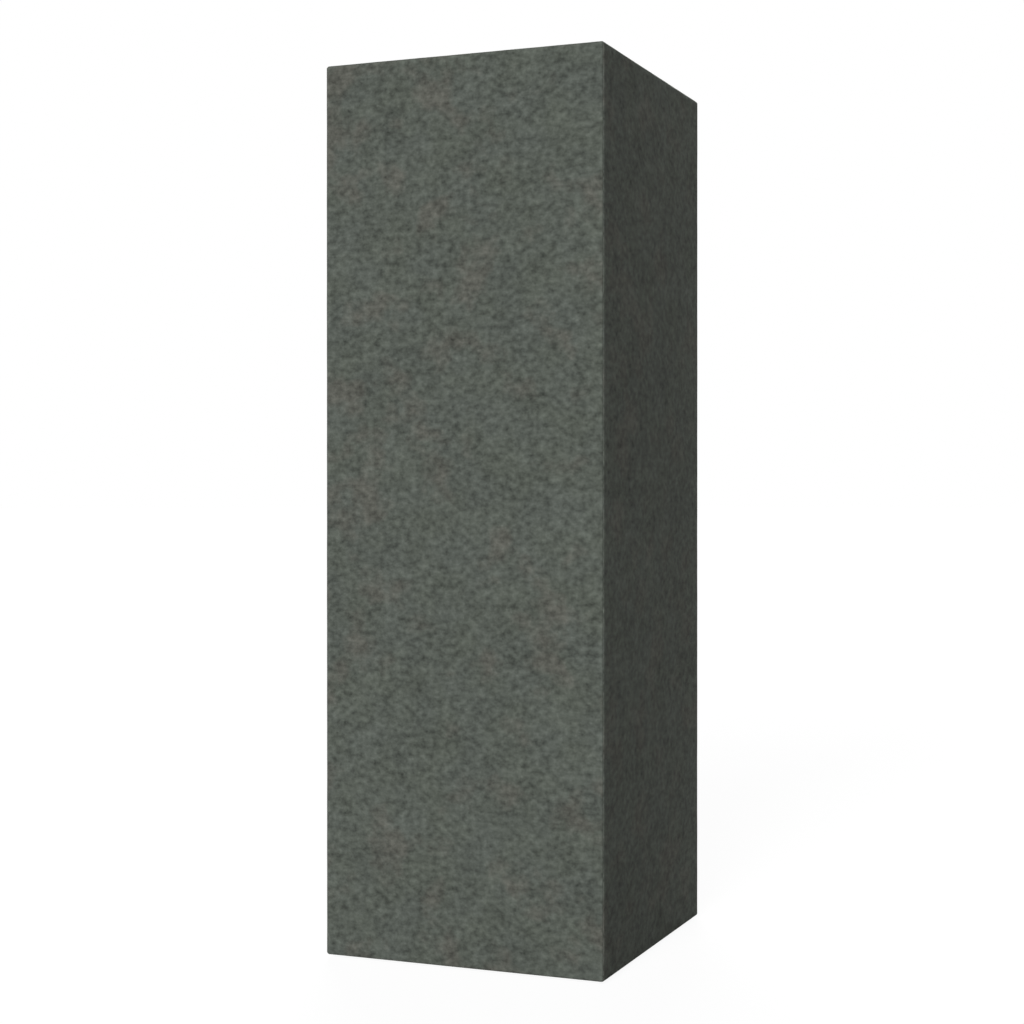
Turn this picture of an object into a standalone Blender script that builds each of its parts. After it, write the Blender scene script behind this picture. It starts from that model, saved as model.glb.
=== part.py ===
"""Free-standing bass trap: a square column of mineral wool slabs in a timber frame, under a stretched cover.

Metres, +Z up. The origin is on the floor under the middle of the column.
The front faces -Y, and +X is the right.
"""

import math

import bmesh
import bpy

# Body of the column, over the cloth
COLUMN_WIDTH = 0.400
COLUMN_DEPTH = 0.400
COLUMN_HEIGHT = 1.200  # from the underside of the turned-in hem to the top

# Cloths, by thickness
COVER_CLOTH = 0.0015
LINER_FLEECE = 0.0006
DUST_CLOTH = 0.0006
HEM_WIDTH = 0.055  # of each cover wall that is turned in under the base
DUST_CLOTH_INSET = 0.012  # from the column's faces to the dust cloth's edge

# Timber
PANEL_THICKNESS = 0.012
POST_SIZE = 0.030
RAIL_HEIGHT = 0.030
RAIL_THICKNESS = 0.018
ARRIS = 0.001  # the timber's eased edges

# Absorber
SLAB_COUNT = 4  # upright slabs, from front to rear

# Dowels in the rail ends
DOWEL_DIAMETER = 0.008
DOWEL_LENGTH = 0.030
DOWEL_CHAMFER = 0.001
DOWEL_WALL = 0.003  # timber left between two dowels that meet in one post

# Screws from the panels into the post ends
POST_SCREW_LENGTH = 0.050
POST_SCREW_SHANK = 0.0045
POST_SCREW_HEAD = 0.009
POST_SCREW_SOCKET = 0.0022  # radius of the hexagonal socket over its corners

# Glides and their screws
GLIDE_THICKNESS = 0.003
GLIDE_DIAMETER = 0.030
GLIDE_ROUNDING = 0.001
GLIDE_INSET = 0.035  # from the column's faces to the glide's middle
GLIDE_SCREW_LENGTH = 0.016
GLIDE_SCREW_SHANK = 0.0035
GLIDE_SCREW_HEAD = 0.007
GLIDE_SCREW_SOCKET = 0.0017
GLIDE_SCREW_SUNK = 0.0004  # how far the head sits up inside the glide

# Shape of every screw
SCREW_HEAD_RIM = 0.0004
SCREW_POINT = 1.5  # length of the point, in shank diameters
SOCKET_DEPTH = 0.45  # in head radii

# Fits and facets
GAP = 0.0003  # between two pieces that touch
CUTTER_MARGIN = 0.002  # how far a cutter runs out past the face that it opens
SCREW_STEPS = 16  # round a screw or a dowel, and its hole
GLIDE_STEPS = 32
BEND_SEGMENTS = 4  # in a rounded corner
SOCKET_SIDES = 6

# Across the column: the cloths lie over the frame's outer faces
FRAME_INSET = COVER_CLOTH + GAP + LINER_FLEECE + GAP
FRAME_WIDTH = COLUMN_WIDTH - 2 * FRAME_INSET
FRAME_DEPTH = COLUMN_DEPTH - 2 * FRAME_INSET
COVER_RADIUS = ARRIS + FRAME_INSET
LINER_RADIUS = COVER_RADIUS - COVER_CLOTH - GAP
POST_X = FRAME_WIDTH / 2 - POST_SIZE / 2
POST_Y = FRAME_DEPTH / 2 - POST_SIZE / 2
RAIL_X = FRAME_WIDTH / 2 - RAIL_THICKNESS / 2
RAIL_Y = FRAME_DEPTH / 2 - RAIL_THICKNESS / 2
GLIDE_X = COLUMN_WIDTH / 2 - GLIDE_INSET
GLIDE_Y = COLUMN_DEPTH / 2 - GLIDE_INSET

# Up the column, from the floor
DUST_CLOTH_LOW = GLIDE_THICKNESS + GAP
HEM_LOW = DUST_CLOTH_LOW + DUST_CLOTH + GAP
BASE_LOW = HEM_LOW + COVER_CLOTH + GAP
BASE_HIGH = BASE_LOW + PANEL_THICKNESS
COLUMN_TOP = HEM_LOW + COLUMN_HEIGHT
TOP_HIGH = COLUMN_TOP - COVER_CLOTH - GAP
TOP_LOW = TOP_HIGH - PANEL_THICKNESS
POST_LOW = BASE_HIGH + GAP
POST_HIGH = TOP_LOW - GAP
RAIL_LEVEL = (POST_LOW + POST_HIGH) / 2
LINER_LOW = HEM_LOW + COVER_RADIUS  # the fleece stops where the cover starts to turn under
LINER_HIGH = TOP_HIGH

LEFT_RIGHT = (("left", -1), ("right", 1))
FRONT_REAR = (("front", -1), ("rear", 1))
CORNERS = [
    (f"{end}_{side}", across, along)
    for end, along in FRONT_REAR
    for side, across in LEFT_RIGHT
]


def clear_scene():
    for old in list(bpy.data.objects):
        bpy.data.objects.remove(old, do_unlink=True)


def new_collection(name):
    made = bpy.data.collections.new(name)
    bpy.context.scene.collection.children.link(made)
    return made


def new_material(name, colour, roughness, metallic=0.0):
    made = bpy.data.materials.new(name)
    made.use_nodes = True
    shader = made.node_tree.nodes["Principled BSDF"]
    shader.inputs["Base Color"].default_value = (*colour, 1.0)
    shader.inputs["Roughness"].default_value = roughness
    shader.inputs["Metallic"].default_value = metallic
    made.diffuse_color = (*colour, 1.0)
    return made


clear_scene()
PARTS = new_collection("Bass trap")
CUTTERS = new_collection("Cutters")
COLUMN = bpy.data.objects.new("column_origin", None)
PARTS.objects.link(COLUMN)

MELANGE_CLOTH = new_material("melange_cloth", (0.098, 0.109, 0.094), 0.95)
BLACK_FLEECE = new_material("black_fleece", (0.026, 0.026, 0.027), 0.95)
BLACK_NONWOVEN = new_material("black_nonwoven", (0.020, 0.020, 0.021), 0.90)
MINERAL_WOOL = new_material("mineral_wool", (0.40, 0.34, 0.20), 1.0)
PLYWOOD = new_material("plywood", (0.56, 0.41, 0.25), 0.65)
SPRUCE = new_material("spruce", (0.66, 0.49, 0.29), 0.60)
BEECH = new_material("beech", (0.60, 0.41, 0.26), 0.55)
ZINC_STEEL = new_material("zinc_steel", (0.62, 0.63, 0.64), 0.35, 1.0)
BLACK_PLASTIC = new_material("black_plastic", (0.028, 0.028, 0.030), 0.50)


def add_part(name, mesh, material, location=(0, 0, 0), rotation=(0, 0, 0)):
    part = bpy.data.objects.new(name, mesh)
    mesh.materials.append(material)
    part.location = location
    part.rotation_euler = rotation
    part.parent = COLUMN
    PARTS.objects.link(part)
    return part


def add_cutter(name, mesh, location=(0, 0, 0), rotation=(0, 0, 0)):
    cutter = bpy.data.objects.new(name, mesh)
    cutter.location = location
    cutter.rotation_euler = rotation
    cutter.parent = COLUMN
    cutter.hide_render = True
    cutter.display_type = "WIRE"
    CUTTERS.objects.link(cutter)
    return cutter


def cut(part, cutter, operation="DIFFERENCE"):
    modifier = part.modifiers.new(f"cut by {cutter.name}", "BOOLEAN")
    modifier.operation = operation
    modifier.solver = "EXACT"
    modifier.object = cutter


def keep_inside(part, cutter):
    """Only what lies inside the cutter is left of the part."""
    cut(part, cutter, "INTERSECT")


def to_mesh(shape, name):
    mesh = bpy.data.meshes.new(name)
    shape.to_mesh(mesh)
    shape.free()
    return mesh


def box(size):
    """A box of this size about its own middle, to be finished by the caller."""
    shape = bmesh.new()
    bmesh.ops.create_cube(shape, size=1.0)
    bmesh.ops.scale(shape, vec=size, verts=shape.verts)
    return shape


def edges_along(shape, axis):
    """The edges of a box that run along X, Y or Z (0, 1 or 2)."""
    found = []
    for edge in shape.edges:
        run = edge.verts[1].co - edge.verts[0].co
        if abs(run[axis]) > 0.99 * run.length:
            found.append(edge)
    return found


def round_edges(shape, edges, radius, segments):
    bmesh.ops.bevel(
        shape, geom=edges, offset=radius, segments=segments, profile=0.5, affect="EDGES"
    )


def plain_box(name, size):
    return to_mesh(box(size), name)


def eased_box(name, size, axes=(0, 1, 2)):
    """A box of timber, with its edges along these axes eased."""
    shape = box(size)
    edges = [edge for axis in axes for edge in edges_along(shape, axis)]
    round_edges(shape, edges, ARRIS, 1)
    return to_mesh(shape, name)


def rounded_plate(name, width, depth, thickness, radius):
    """A flat piece of cloth, with its four upright corners rounded."""
    shape = box((width, depth, thickness))
    round_edges(shape, edges_along(shape, 2), radius, BEND_SEGMENTS)
    return to_mesh(shape, name)


def turned(name, profile):
    """The half outline alone: (radius, height) pairs down the outer side, from the axis and back to it."""
    mesh = bpy.data.meshes.new(name)
    verts = [(radius, 0.0, height) for radius, height in profile]
    edges = [(i, i + 1) for i in range(len(verts) - 1)]
    mesh.from_pydata(verts, edges, [])
    return mesh


def rounded_rim(radius, low, rounding):
    """Points down the outer side of a disc and round its lower rim."""
    points = []
    for step in range(BEND_SEGMENTS + 1):
        angle = math.pi / 2 * step / BEND_SEGMENTS
        inward = rounding * (1 - math.cos(angle))
        up = rounding * (1 - math.sin(angle))
        points.append((radius - inward, low + up))
    return points


def turn(obj, steps=SCREW_STEPS):
    modifier = obj.modifiers.new("turned", "SCREW")
    modifier.axis = "Z"
    modifier.angle = 2 * math.pi
    modifier.steps = steps
    modifier.render_steps = steps
    modifier.use_merge_vertices = True
    modifier.merge_threshold = 0.00001
    modifier.use_smooth_shade = True


def solidify_inward(obj, thickness):
    modifier = obj.modifiers.new("cloth thickness", "SOLIDIFY")
    modifier.thickness = thickness
    modifier.offset = -1.0
    modifier.use_even_offset = True


def screw_profile(length, shank, head, clearance=0.0, mouth=0.0):
    """Half outline of a countersunk screw, head up at height 0. A hole adds clearance and a mouth."""
    head_radius = head / 2 + clearance
    shank_radius = shank / 2 + clearance
    cone_low = -SCREW_HEAD_RIM - (head_radius - shank_radius)
    point_high = -length + SCREW_POINT * shank
    return [
        (0.0, mouth),
        (head_radius, mouth),
        (head_radius, -SCREW_HEAD_RIM),
        (shank_radius, cone_low),
        (shank_radius, point_high),
        (0.0, -length - clearance),
    ]


def socket_mesh(name, radius, depth):
    """A hexagonal peg from the margin above height 0 down to the bottom of the socket."""
    shape = bmesh.new()
    bmesh.ops.create_cone(
        shape,
        cap_ends=True,
        segments=SOCKET_SIDES,
        radius1=radius,
        radius2=radius,
        depth=depth + CUTTER_MARGIN,
    )
    middle = (0, 0, (CUTTER_MARGIN - depth) / 2)
    bmesh.ops.translate(shape, verts=shape.verts, vec=middle)
    return to_mesh(shape, name)


def add_screw(name, length, shank, head, socket, location, rotation):
    """A countersunk screw with a hexagonal socket in its head. Returns the cutter for its hole."""
    profile = screw_profile(length, shank, head)
    screw = add_part(name, turned(name, profile), ZINC_STEEL, location, rotation)
    turn(screw)
    socket_name = f"{name}_socket"
    mesh = socket_mesh(socket_name, socket, SOCKET_DEPTH * head / 2)
    cut(screw, add_cutter(socket_name, mesh, location, rotation))
    hole_name = f"{name}_hole"
    profile = screw_profile(length, shank, head, GAP, CUTTER_MARGIN)
    hole = add_cutter(hole_name, turned(hole_name, profile), location, rotation)
    turn(hole)
    return hole


def peg_along(name, axis, diameter, length, chamfer):
    """The half outline of a peg with chamfered ends, and the rotation that lays it along X or Y."""
    radius = diameter / 2
    half = length / 2
    profile = [
        (0.0, half),
        (radius - chamfer, half),
        (radius, half - chamfer),
        (radius, chamfer - half),
        (radius - chamfer, -half),
        (0.0, -half),
    ]
    rotation = (0, math.pi / 2, 0) if axis == 0 else (math.pi / 2, 0, 0)
    return turned(name, profile), rotation


def rail_ends():
    """Each rail end: the names of its dowel, rail and post, the dowel's middle and its axis."""
    depth_in_post = POST_SIZE - RAIL_THICKNESS / 2 - DOWEL_DIAMETER / 2 - DOWEL_WALL
    reach = depth_in_post - DOWEL_LENGTH / 2
    post_face_x = FRAME_WIDTH / 2 - POST_SIZE
    post_face_y = FRAME_DEPTH / 2 - POST_SIZE
    ends = []
    for end, along in FRONT_REAR:
        for side, across in LEFT_RIGHT:
            post = f"{end}_{side}"
            middle = (across * (post_face_x + reach), along * RAIL_Y, RAIL_LEVEL)
            ends.append((f"dowel_{end}_rail_{side}", end, post, middle, 0))
            middle = (across * RAIL_X, along * (post_face_y + reach), RAIL_LEVEL)
            ends.append((f"dowel_{side}_rail_{end}", side, post, middle, 1))
    return ends


def add_dowels():
    """The dowels, and their holes as lists of cutters for each rail and each post."""
    holes = {}
    for name, rail, post, middle, axis in rail_ends():
        mesh, rotation = peg_along(
            name, axis, DOWEL_DIAMETER, DOWEL_LENGTH, DOWEL_CHAMFER
        )
        turn(add_part(name, mesh, BEECH, middle, rotation))
        mesh, rotation = peg_along(
            f"{name}_hole",
            axis,
            DOWEL_DIAMETER + 2 * GAP,
            DOWEL_LENGTH + 2 * GAP,
            DOWEL_CHAMFER,
        )
        hole = add_cutter(f"{name}_hole", mesh, middle, rotation)
        turn(hole)
        holes.setdefault(rail, []).append(hole)
        holes.setdefault(post, []).append(hole)
    return holes


def add_post_screws():
    """Screws up through the base and down through the top, and their holes for each panel and each post."""
    holes = {"base": [], "top": []}
    for corner, across, along in CORNERS:
        for panel, height, rotation in (
            ("base", BASE_LOW, (math.pi, 0, 0)),
            ("top", TOP_HIGH, (0, 0, 0)),
        ):
            hole = add_screw(
                f"{panel}_screw_{corner}",
                POST_SCREW_LENGTH,
                POST_SCREW_SHANK,
                POST_SCREW_HEAD,
                POST_SCREW_SOCKET,
                (across * POST_X, along * POST_Y, height),
                rotation,
            )
            holes[panel].append(hole)
            holes.setdefault(corner, []).append(hole)
    return holes


def add_glides():
    """Four discs with a countersunk hole, each on its screw. Returns the screws' holes."""
    half = GLIDE_THICKNESS / 2
    radius = GLIDE_DIAMETER / 2
    rim = rounded_rim(radius, -half, GLIDE_ROUNDING)
    profile = [(0.0, half), (radius, half), *rim, (0.0, -half)]
    holes = []
    for corner, across, along in CORNERS:
        place = (across * GLIDE_X, along * GLIDE_Y)
        name = f"glide_{corner}"
        glide = add_part(name, turned(name, profile), BLACK_PLASTIC, (*place, half))
        turn(glide, GLIDE_STEPS)
        hole = add_screw(
            f"glide_screw_{corner}",
            GLIDE_SCREW_LENGTH,
            GLIDE_SCREW_SHANK,
            GLIDE_SCREW_HEAD,
            GLIDE_SCREW_SOCKET,
            (*place, GLIDE_SCREW_SUNK),
            (math.pi, 0, 0),
        )
        cut(glide, hole)
        holes.append(hole)
    return holes


def add_panels(post_holes, glide_holes):
    size = (FRAME_WIDTH, FRAME_DEPTH, PANEL_THICKNESS)
    base = add_part(
        "base_panel",
        eased_box("base_panel", size),
        PLYWOOD,
        (0, 0, (BASE_LOW + BASE_HIGH) / 2),
    )
    for hole in post_holes["base"] + glide_holes:
        cut(base, hole)
    top = add_part(
        "top_panel",
        eased_box("top_panel", size),
        PLYWOOD,
        (0, 0, (TOP_LOW + TOP_HIGH) / 2),
    )
    for hole in post_holes["top"]:
        cut(top, hole)


def add_posts(post_holes, dowel_holes):
    size = (POST_SIZE, POST_SIZE, POST_HIGH - POST_LOW)
    for corner, across, along in CORNERS:
        name = f"post_{corner}"
        post = add_part(
            name,
            eased_box(name, size, axes=(2,)),
            SPRUCE,
            (across * POST_X, along * POST_Y, (POST_LOW + POST_HIGH) / 2),
        )
        for hole in post_holes[corner] + dowel_holes[corner]:
            cut(post, hole)


def add_rails(dowel_holes):
    across_length = FRAME_WIDTH - 2 * POST_SIZE - 2 * GAP
    along_length = FRAME_DEPTH - 2 * POST_SIZE - 2 * GAP
    for end, sign in FRONT_REAR:
        size = (across_length, RAIL_THICKNESS, RAIL_HEIGHT)
        mesh = eased_box(f"rail_{end}", size, axes=(0,))
        rail = add_part(f"rail_{end}", mesh, SPRUCE, (0, sign * RAIL_Y, RAIL_LEVEL))
        for hole in dowel_holes[end]:
            cut(rail, hole)
    for side, sign in LEFT_RIGHT:
        size = (RAIL_THICKNESS, along_length, RAIL_HEIGHT)
        mesh = eased_box(f"rail_{side}", size, axes=(1,))
        rail = add_part(f"rail_{side}", mesh, SPRUCE, (sign * RAIL_X, 0, RAIL_LEVEL))
        for hole in dowel_holes[side]:
            cut(rail, hole)


def notch_cutters():
    """Where the slabs are cut back round the posts and the rails."""
    height = POST_HIGH - POST_LOW + 2 * CUTTER_MARGIN
    post_notch = POST_SIZE + GAP + CUTTER_MARGIN
    rail_notch = RAIL_THICKNESS + GAP + CUTTER_MARGIN
    rail_high = RAIL_HEIGHT + 2 * GAP
    middle = (POST_LOW + POST_HIGH) / 2
    cutters = []
    for corner, across, along in CORNERS:
        x = across * (FRAME_WIDTH / 2 + CUTTER_MARGIN - post_notch / 2)
        y = along * (FRAME_DEPTH / 2 + CUTTER_MARGIN - post_notch / 2)
        name = f"notch_post_{corner}"
        mesh = plain_box(name, (post_notch, post_notch, height))
        cutters.append(add_cutter(name, mesh, (x, y, middle)))
    for end, along in FRONT_REAR:
        y = along * (FRAME_DEPTH / 2 + CUTTER_MARGIN - rail_notch / 2)
        name = f"notch_rail_{end}"
        mesh = plain_box(name, (FRAME_WIDTH, rail_notch, rail_high))
        cutters.append(add_cutter(name, mesh, (0, y, RAIL_LEVEL)))
    for side, across in LEFT_RIGHT:
        x = across * (FRAME_WIDTH / 2 + CUTTER_MARGIN - rail_notch / 2)
        name = f"notch_rail_{side}"
        size = (rail_notch, FRAME_DEPTH + 2 * CUTTER_MARGIN, rail_high)
        cutters.append(add_cutter(name, plain_box(name, size), (x, 0, RAIL_LEVEL)))
    return cutters


def add_slabs():
    slab_depth = (FRAME_DEPTH - (SLAB_COUNT - 1) * GAP) / SLAB_COUNT
    cutters = notch_cutters()
    for number in range(SLAB_COUNT):
        name = f"absorber_slab_{number + 1}"
        size = (FRAME_WIDTH, slab_depth, POST_HIGH - POST_LOW)
        y = -FRAME_DEPTH / 2 + slab_depth / 2 + number * (slab_depth + GAP)
        place = (0, y, (POST_LOW + POST_HIGH) / 2)
        slab = add_part(name, plain_box(name, size), MINERAL_WOOL, place)
        for cutter in cutters:
            cut(slab, cutter)


def add_liner():
    """An open tube of fleece round the frame and the slabs."""
    width = FRAME_WIDTH + 2 * (GAP + LINER_FLEECE)
    depth = FRAME_DEPTH + 2 * (GAP + LINER_FLEECE)
    shape = box((width, depth, LINER_HIGH - LINER_LOW))
    ends = [face for face in shape.faces if abs(face.normal.z) > 0.9]
    bmesh.ops.delete(shape, geom=ends, context="FACES_ONLY")
    round_edges(shape, edges_along(shape, 2), LINER_RADIUS, BEND_SEGMENTS)
    mesh = to_mesh(shape, "fleece_liner")
    place = (0, 0, (LINER_LOW + LINER_HIGH) / 2)
    solidify_inward(
        add_part("fleece_liner", mesh, BLACK_FLEECE, place), LINER_FLEECE
    )


def cover_wrap(name):
    """The outer surface of the cover's walls, open at the top and turned in under the base as a hem."""
    shape = box((COLUMN_WIDTH, COLUMN_DEPTH, COLUMN_HEIGHT))
    top = [face for face in shape.faces if face.normal.z > 0.9]
    bmesh.ops.delete(shape, geom=top, context="FACES_ONLY")
    bottom_edges = [
        edge for edge in shape.edges if all(vert.co.z < 0 for vert in edge.verts)
    ]
    round_edges(
        shape, edges_along(shape, 2) + bottom_edges, COVER_RADIUS, BEND_SEGMENTS
    )
    bottom = [face for face in shape.faces if face.normal.z < -0.999]
    bmesh.ops.inset_region(
        shape, faces=bottom, thickness=HEM_WIDTH - COVER_RADIUS, use_even_offset=True
    )
    bmesh.ops.delete(shape, geom=bottom, context="FACES")
    mesh = to_mesh(shape, name)
    mesh.shade_smooth()
    mesh.set_sharp_from_angle(angle=math.radians(40))
    return mesh


def mitred_block(name, length, width, height):
    """A block along X with its long side towards -Y and both ends cut back at 45 degrees."""
    shape = box((length, width, height))
    for vert in shape.verts:
        if vert.co.y > 0:
            vert.co.x -= math.copysign(width, vert.co.x)
    return to_mesh(shape, name)


def add_cover_walls(glide_holes):
    """Four walls that meet on the upright edges, each with its own hem, mitred at the corners."""
    block_width = HEM_WIDTH + 2 * CUTTER_MARGIN
    block_height = COLUMN_HEIGHT + 2 * CUTTER_MARGIN
    middle = HEM_LOW + COLUMN_HEIGHT / 2
    for side, degrees, width, depth in (
        ("front", 0, COLUMN_WIDTH, COLUMN_DEPTH),
        ("right", 90, COLUMN_DEPTH, COLUMN_WIDTH),
        ("rear", 180, COLUMN_WIDTH, COLUMN_DEPTH),
        ("left", 270, COLUMN_DEPTH, COLUMN_WIDTH),
    ):
        name = f"cover_{side}"
        wall = add_part(name, cover_wrap(name), MELANGE_CLOTH, (0, 0, middle))
        solidify_inward(wall, COVER_CLOTH)
        angle = math.radians(degrees)
        length = width + 2 * CUTTER_MARGIN - math.sqrt(2) * GAP
        reach = depth / 2 + CUTTER_MARGIN - block_width / 2
        block_name = f"{name}_extent"
        block = add_cutter(
            block_name,
            mitred_block(block_name, length, block_width, block_height),
            (reach * math.sin(angle), -reach * math.cos(angle), middle),
            (0, 0, angle),
        )
        keep_inside(wall, block)
        for hole in glide_holes:
            cut(wall, hole)


def add_cover_top():
    """The square that closes the cover, let in between the upper edges of its walls."""
    inset = COVER_CLOTH + GAP
    mesh = rounded_plate(
        "cover_top",
        COLUMN_WIDTH - 2 * inset,
        COLUMN_DEPTH - 2 * inset,
        COVER_CLOTH,
        COVER_RADIUS - inset,
    )
    add_part("cover_top", mesh, MELANGE_CLOTH, (0, 0, COLUMN_TOP - COVER_CLOTH / 2))


def add_dust_cloth(glide_holes):
    size = (
        COLUMN_WIDTH - 2 * DUST_CLOTH_INSET,
        COLUMN_DEPTH - 2 * DUST_CLOTH_INSET,
        DUST_CLOTH,
    )
    place = (0, 0, DUST_CLOTH_LOW + DUST_CLOTH / 2)
    cloth = add_part(
        "dust_cloth", plain_box("dust_cloth", size), BLACK_NONWOVEN, place
    )
    for hole in glide_holes:
        cut(cloth, hole)


dowel_holes = add_dowels()
post_holes = add_post_screws()
glide_holes = add_glides()
add_panels(post_holes, glide_holes)
add_posts(post_holes, dowel_holes)
add_rails(dowel_holes)
add_slabs()
add_liner()
add_cover_walls(glide_holes)
add_cover_top()
add_dust_cloth(glide_holes)
print("bass trap:", sum(part.type == "MESH" for part in PARTS.objects), "pieces")
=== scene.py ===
# %% [markdown]
# # Dressing a bass trap
#
# A bass trap soaks up low notes in the corner of a room. This one is a square column: four slabs
# of mineral wool stand in a timber frame, and a felted cloth is pulled over the lot. The packed
# frame already holds every size. This lesson adds what the eye sees: cloth, thread, fibres, grain,
# plastic, and the light to see them by.
#
# The frame comes in first.

# %% The frame
import math

import bmesh
import bpy
import numpy as np
from mathutils import Matrix, Vector, noise


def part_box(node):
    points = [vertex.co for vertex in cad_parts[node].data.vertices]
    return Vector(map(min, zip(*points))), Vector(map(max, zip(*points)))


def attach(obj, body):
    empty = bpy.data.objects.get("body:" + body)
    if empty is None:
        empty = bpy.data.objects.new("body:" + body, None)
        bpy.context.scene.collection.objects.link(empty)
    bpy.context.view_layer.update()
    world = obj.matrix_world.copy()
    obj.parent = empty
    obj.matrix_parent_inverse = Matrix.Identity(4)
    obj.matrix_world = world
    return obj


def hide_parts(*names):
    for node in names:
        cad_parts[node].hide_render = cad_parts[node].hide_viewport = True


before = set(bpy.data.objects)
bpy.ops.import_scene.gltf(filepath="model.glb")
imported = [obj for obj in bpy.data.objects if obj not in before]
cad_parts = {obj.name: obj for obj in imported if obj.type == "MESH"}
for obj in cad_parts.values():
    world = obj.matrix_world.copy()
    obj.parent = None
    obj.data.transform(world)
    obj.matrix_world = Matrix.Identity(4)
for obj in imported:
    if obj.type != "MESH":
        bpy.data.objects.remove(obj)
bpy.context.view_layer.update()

# %% [markdown]
# ## Sizes
#
# Nothing below repeats a size that the frame can tell. The outer faces, the hem and the cloth's
# thickness are read from the cover's own nodes, so a change of the column changes the dressing
# too. Only sizes inside a piece, such as the bend of the cloth over a post or a screw's shank, have
# no box to be read from and are written here again.

# %% Sizes from the frame
EDGE_RADIUS = 0.0037  # of the cloth, where it bends over a post or the base panel
ENDS = (("front", -1), ("rear", 1))
SIDES = (("left", -1), ("right", 1))
CORNERS = [f"{end}_{side}" for end, _ in ENDS for side, _ in SIDES]


def node_box(name):
    low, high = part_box(name)
    return np.array(low), np.array(high)


front_low, front_high = node_box("cover_front")
top_low, top_high = node_box("cover_top")
WIDTH = 2 * node_box("cover_right")[1][0]
DEPTH = -2 * front_low[1]
BODY_LOW, BODY_TOP = front_low[2], front_high[2]
BODY_HEIGHT = BODY_TOP - BODY_LOW
BODY_MIDDLE = (BODY_TOP + BODY_LOW) / 2
HEM_REACH = front_high[1] - front_low[1]
CLOTH = top_high[2] - top_low[2]
print("body, mm:", [round(1000 * size, 1) for size in (WIDTH, DEPTH, BODY_HEIGHT)])

# %% [markdown]
# ## The camera
#
# The photograph is taken from about half the column's height, past its near upright edge. Upright
# lines stay upright in it, so the camera is all but level, and a small shift of the lens does the
# framing. Its place was found by matching the six corners that the photograph shows.

# %% Camera
CAMERA_PLACE = (1.01664, -2.39657, 0.63324)
CAMERA_TURN = math.radians(21.002)
CAMERA_TILT = math.radians(-0.183)
CAMERA_LENS = 64.72
CAMERA_SHIFT = (-0.0703, -0.0166)


def new_object(name, data):
    made = bpy.data.objects.new(name, data)
    bpy.context.scene.collection.objects.link(made)
    return made


camera_data = bpy.data.cameras.new("camera")
camera_data.lens = CAMERA_LENS
camera_data.shift_x, camera_data.shift_y = CAMERA_SHIFT
camera = new_object("camera", camera_data)
camera.location = CAMERA_PLACE
camera.rotation_euler = (math.pi / 2 + CAMERA_TILT, 0, CAMERA_TURN)
bpy.context.scene.camera = camera
print("camera:", CAMERA_LENS, "mm, turned left by", round(math.degrees(CAMERA_TURN)), "degrees")

# %% [markdown]
# ## Writing node trees by hand
#
# Every finish here is made of nodes, and a recipe reads best as arithmetic. So a Wire stands for a
# node's output, and each sign between wires adds one Math node.

# %% Wires
class Wire:
    """A node's output, which takes part in arithmetic with numbers and other wires."""

    def __init__(self, socket):
        self.socket = socket
        self.tree = socket.id_data

    def __add__(self, other):
        return reckon("ADD", self, other)

    def __sub__(self, other):
        return reckon("SUBTRACT", self, other)

    def __rsub__(self, other):
        return reckon("SUBTRACT", other, self)

    def __mul__(self, other):
        return reckon("MULTIPLY", self, other)

    def __truediv__(self, other):
        return reckon("DIVIDE", self, other)

    def __rtruediv__(self, other):
        return reckon("DIVIDE", other, self)

    def __mod__(self, other):
        return reckon("FLOORED_MODULO", self, other)

    def __abs__(self):
        return reckon("ABSOLUTE", self)


def fill(node, sockets):
    """Gives each socket a number or a wire. In a socket's name, _ may stand for a space."""
    for key, value in sockets.items():
        socket = node.inputs[key.replace("_", " ") if isinstance(key, str) else key]
        if isinstance(value, Wire):
            value.tree.links.new(value.socket, socket)
        else:
            socket.default_value = value


def add_node(tree, kind, sockets, output=0, **settings):
    """Adds a node, fills its sockets and returns one of its outputs."""
    node = tree.nodes.new(f"ShaderNode{kind}")
    for key, value in settings.items():
        setattr(node, key, value)
    fill(node, sockets)
    return Wire(node.outputs[output])


def reckon(operation, *values):
    """One step of arithmetic. It works on vectors if any of the wires carries one."""
    wires = [value for value in values if isinstance(value, Wire)]
    kind = "Math"
    if any(wire.socket.type != "VALUE" for wire in wires):
        kind = "VectorMath"
        values = [(value,) * 3 if isinstance(value, float) else value for value in values]
    return add_node(wires[0].tree, kind, dict(enumerate(values)), operation=operation)


def remap(value, from_low, from_high, to_low, to_high):
    sockets = {0: value, 1: from_low, 2: from_high, 3: to_low, 4: to_high}
    return add_node(value.tree, "MapRange", sockets)


print("wires ready: + - * / % and abs each add a node")

# %% [markdown]
# ## The light
#
# In the photograph the front is twice as bright as the right face, and each face is even from end
# to end. A faint sky and the floor give both faces the same share, and one broad sun, almost square
# to the front, gives the front the rest. A weaker sun from behind keeps the far sides readable. All
# of it adds up to about 1 on the front, so that a colour renders there about as it is written.
#
# The backdrop is white for the camera and for mirror and glass rays only, so it adds no light.

# %% Lamps and sky
SKY = 0.055
SUN_ANGLE = math.radians(25)  # how wide each sun is
SUNS = (("key", 2.93, 5, 24), ("fill", 1.6, 205, 35))  # strength, degrees to the right, and up

for name, strength, side, height in SUNS:
    sun_data = bpy.data.lights.new(name, "SUN")
    sun_data.energy = strength
    sun_data.angle = SUN_ANGLE
    side, height = math.radians(side), math.radians(height)
    level = math.cos(height)
    towards = Vector((math.sin(side) * level, -math.cos(side) * level, math.sin(height)))
    new_object(name, sun_data).rotation_euler = towards.to_track_quat("Z", "Y").to_euler()


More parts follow.
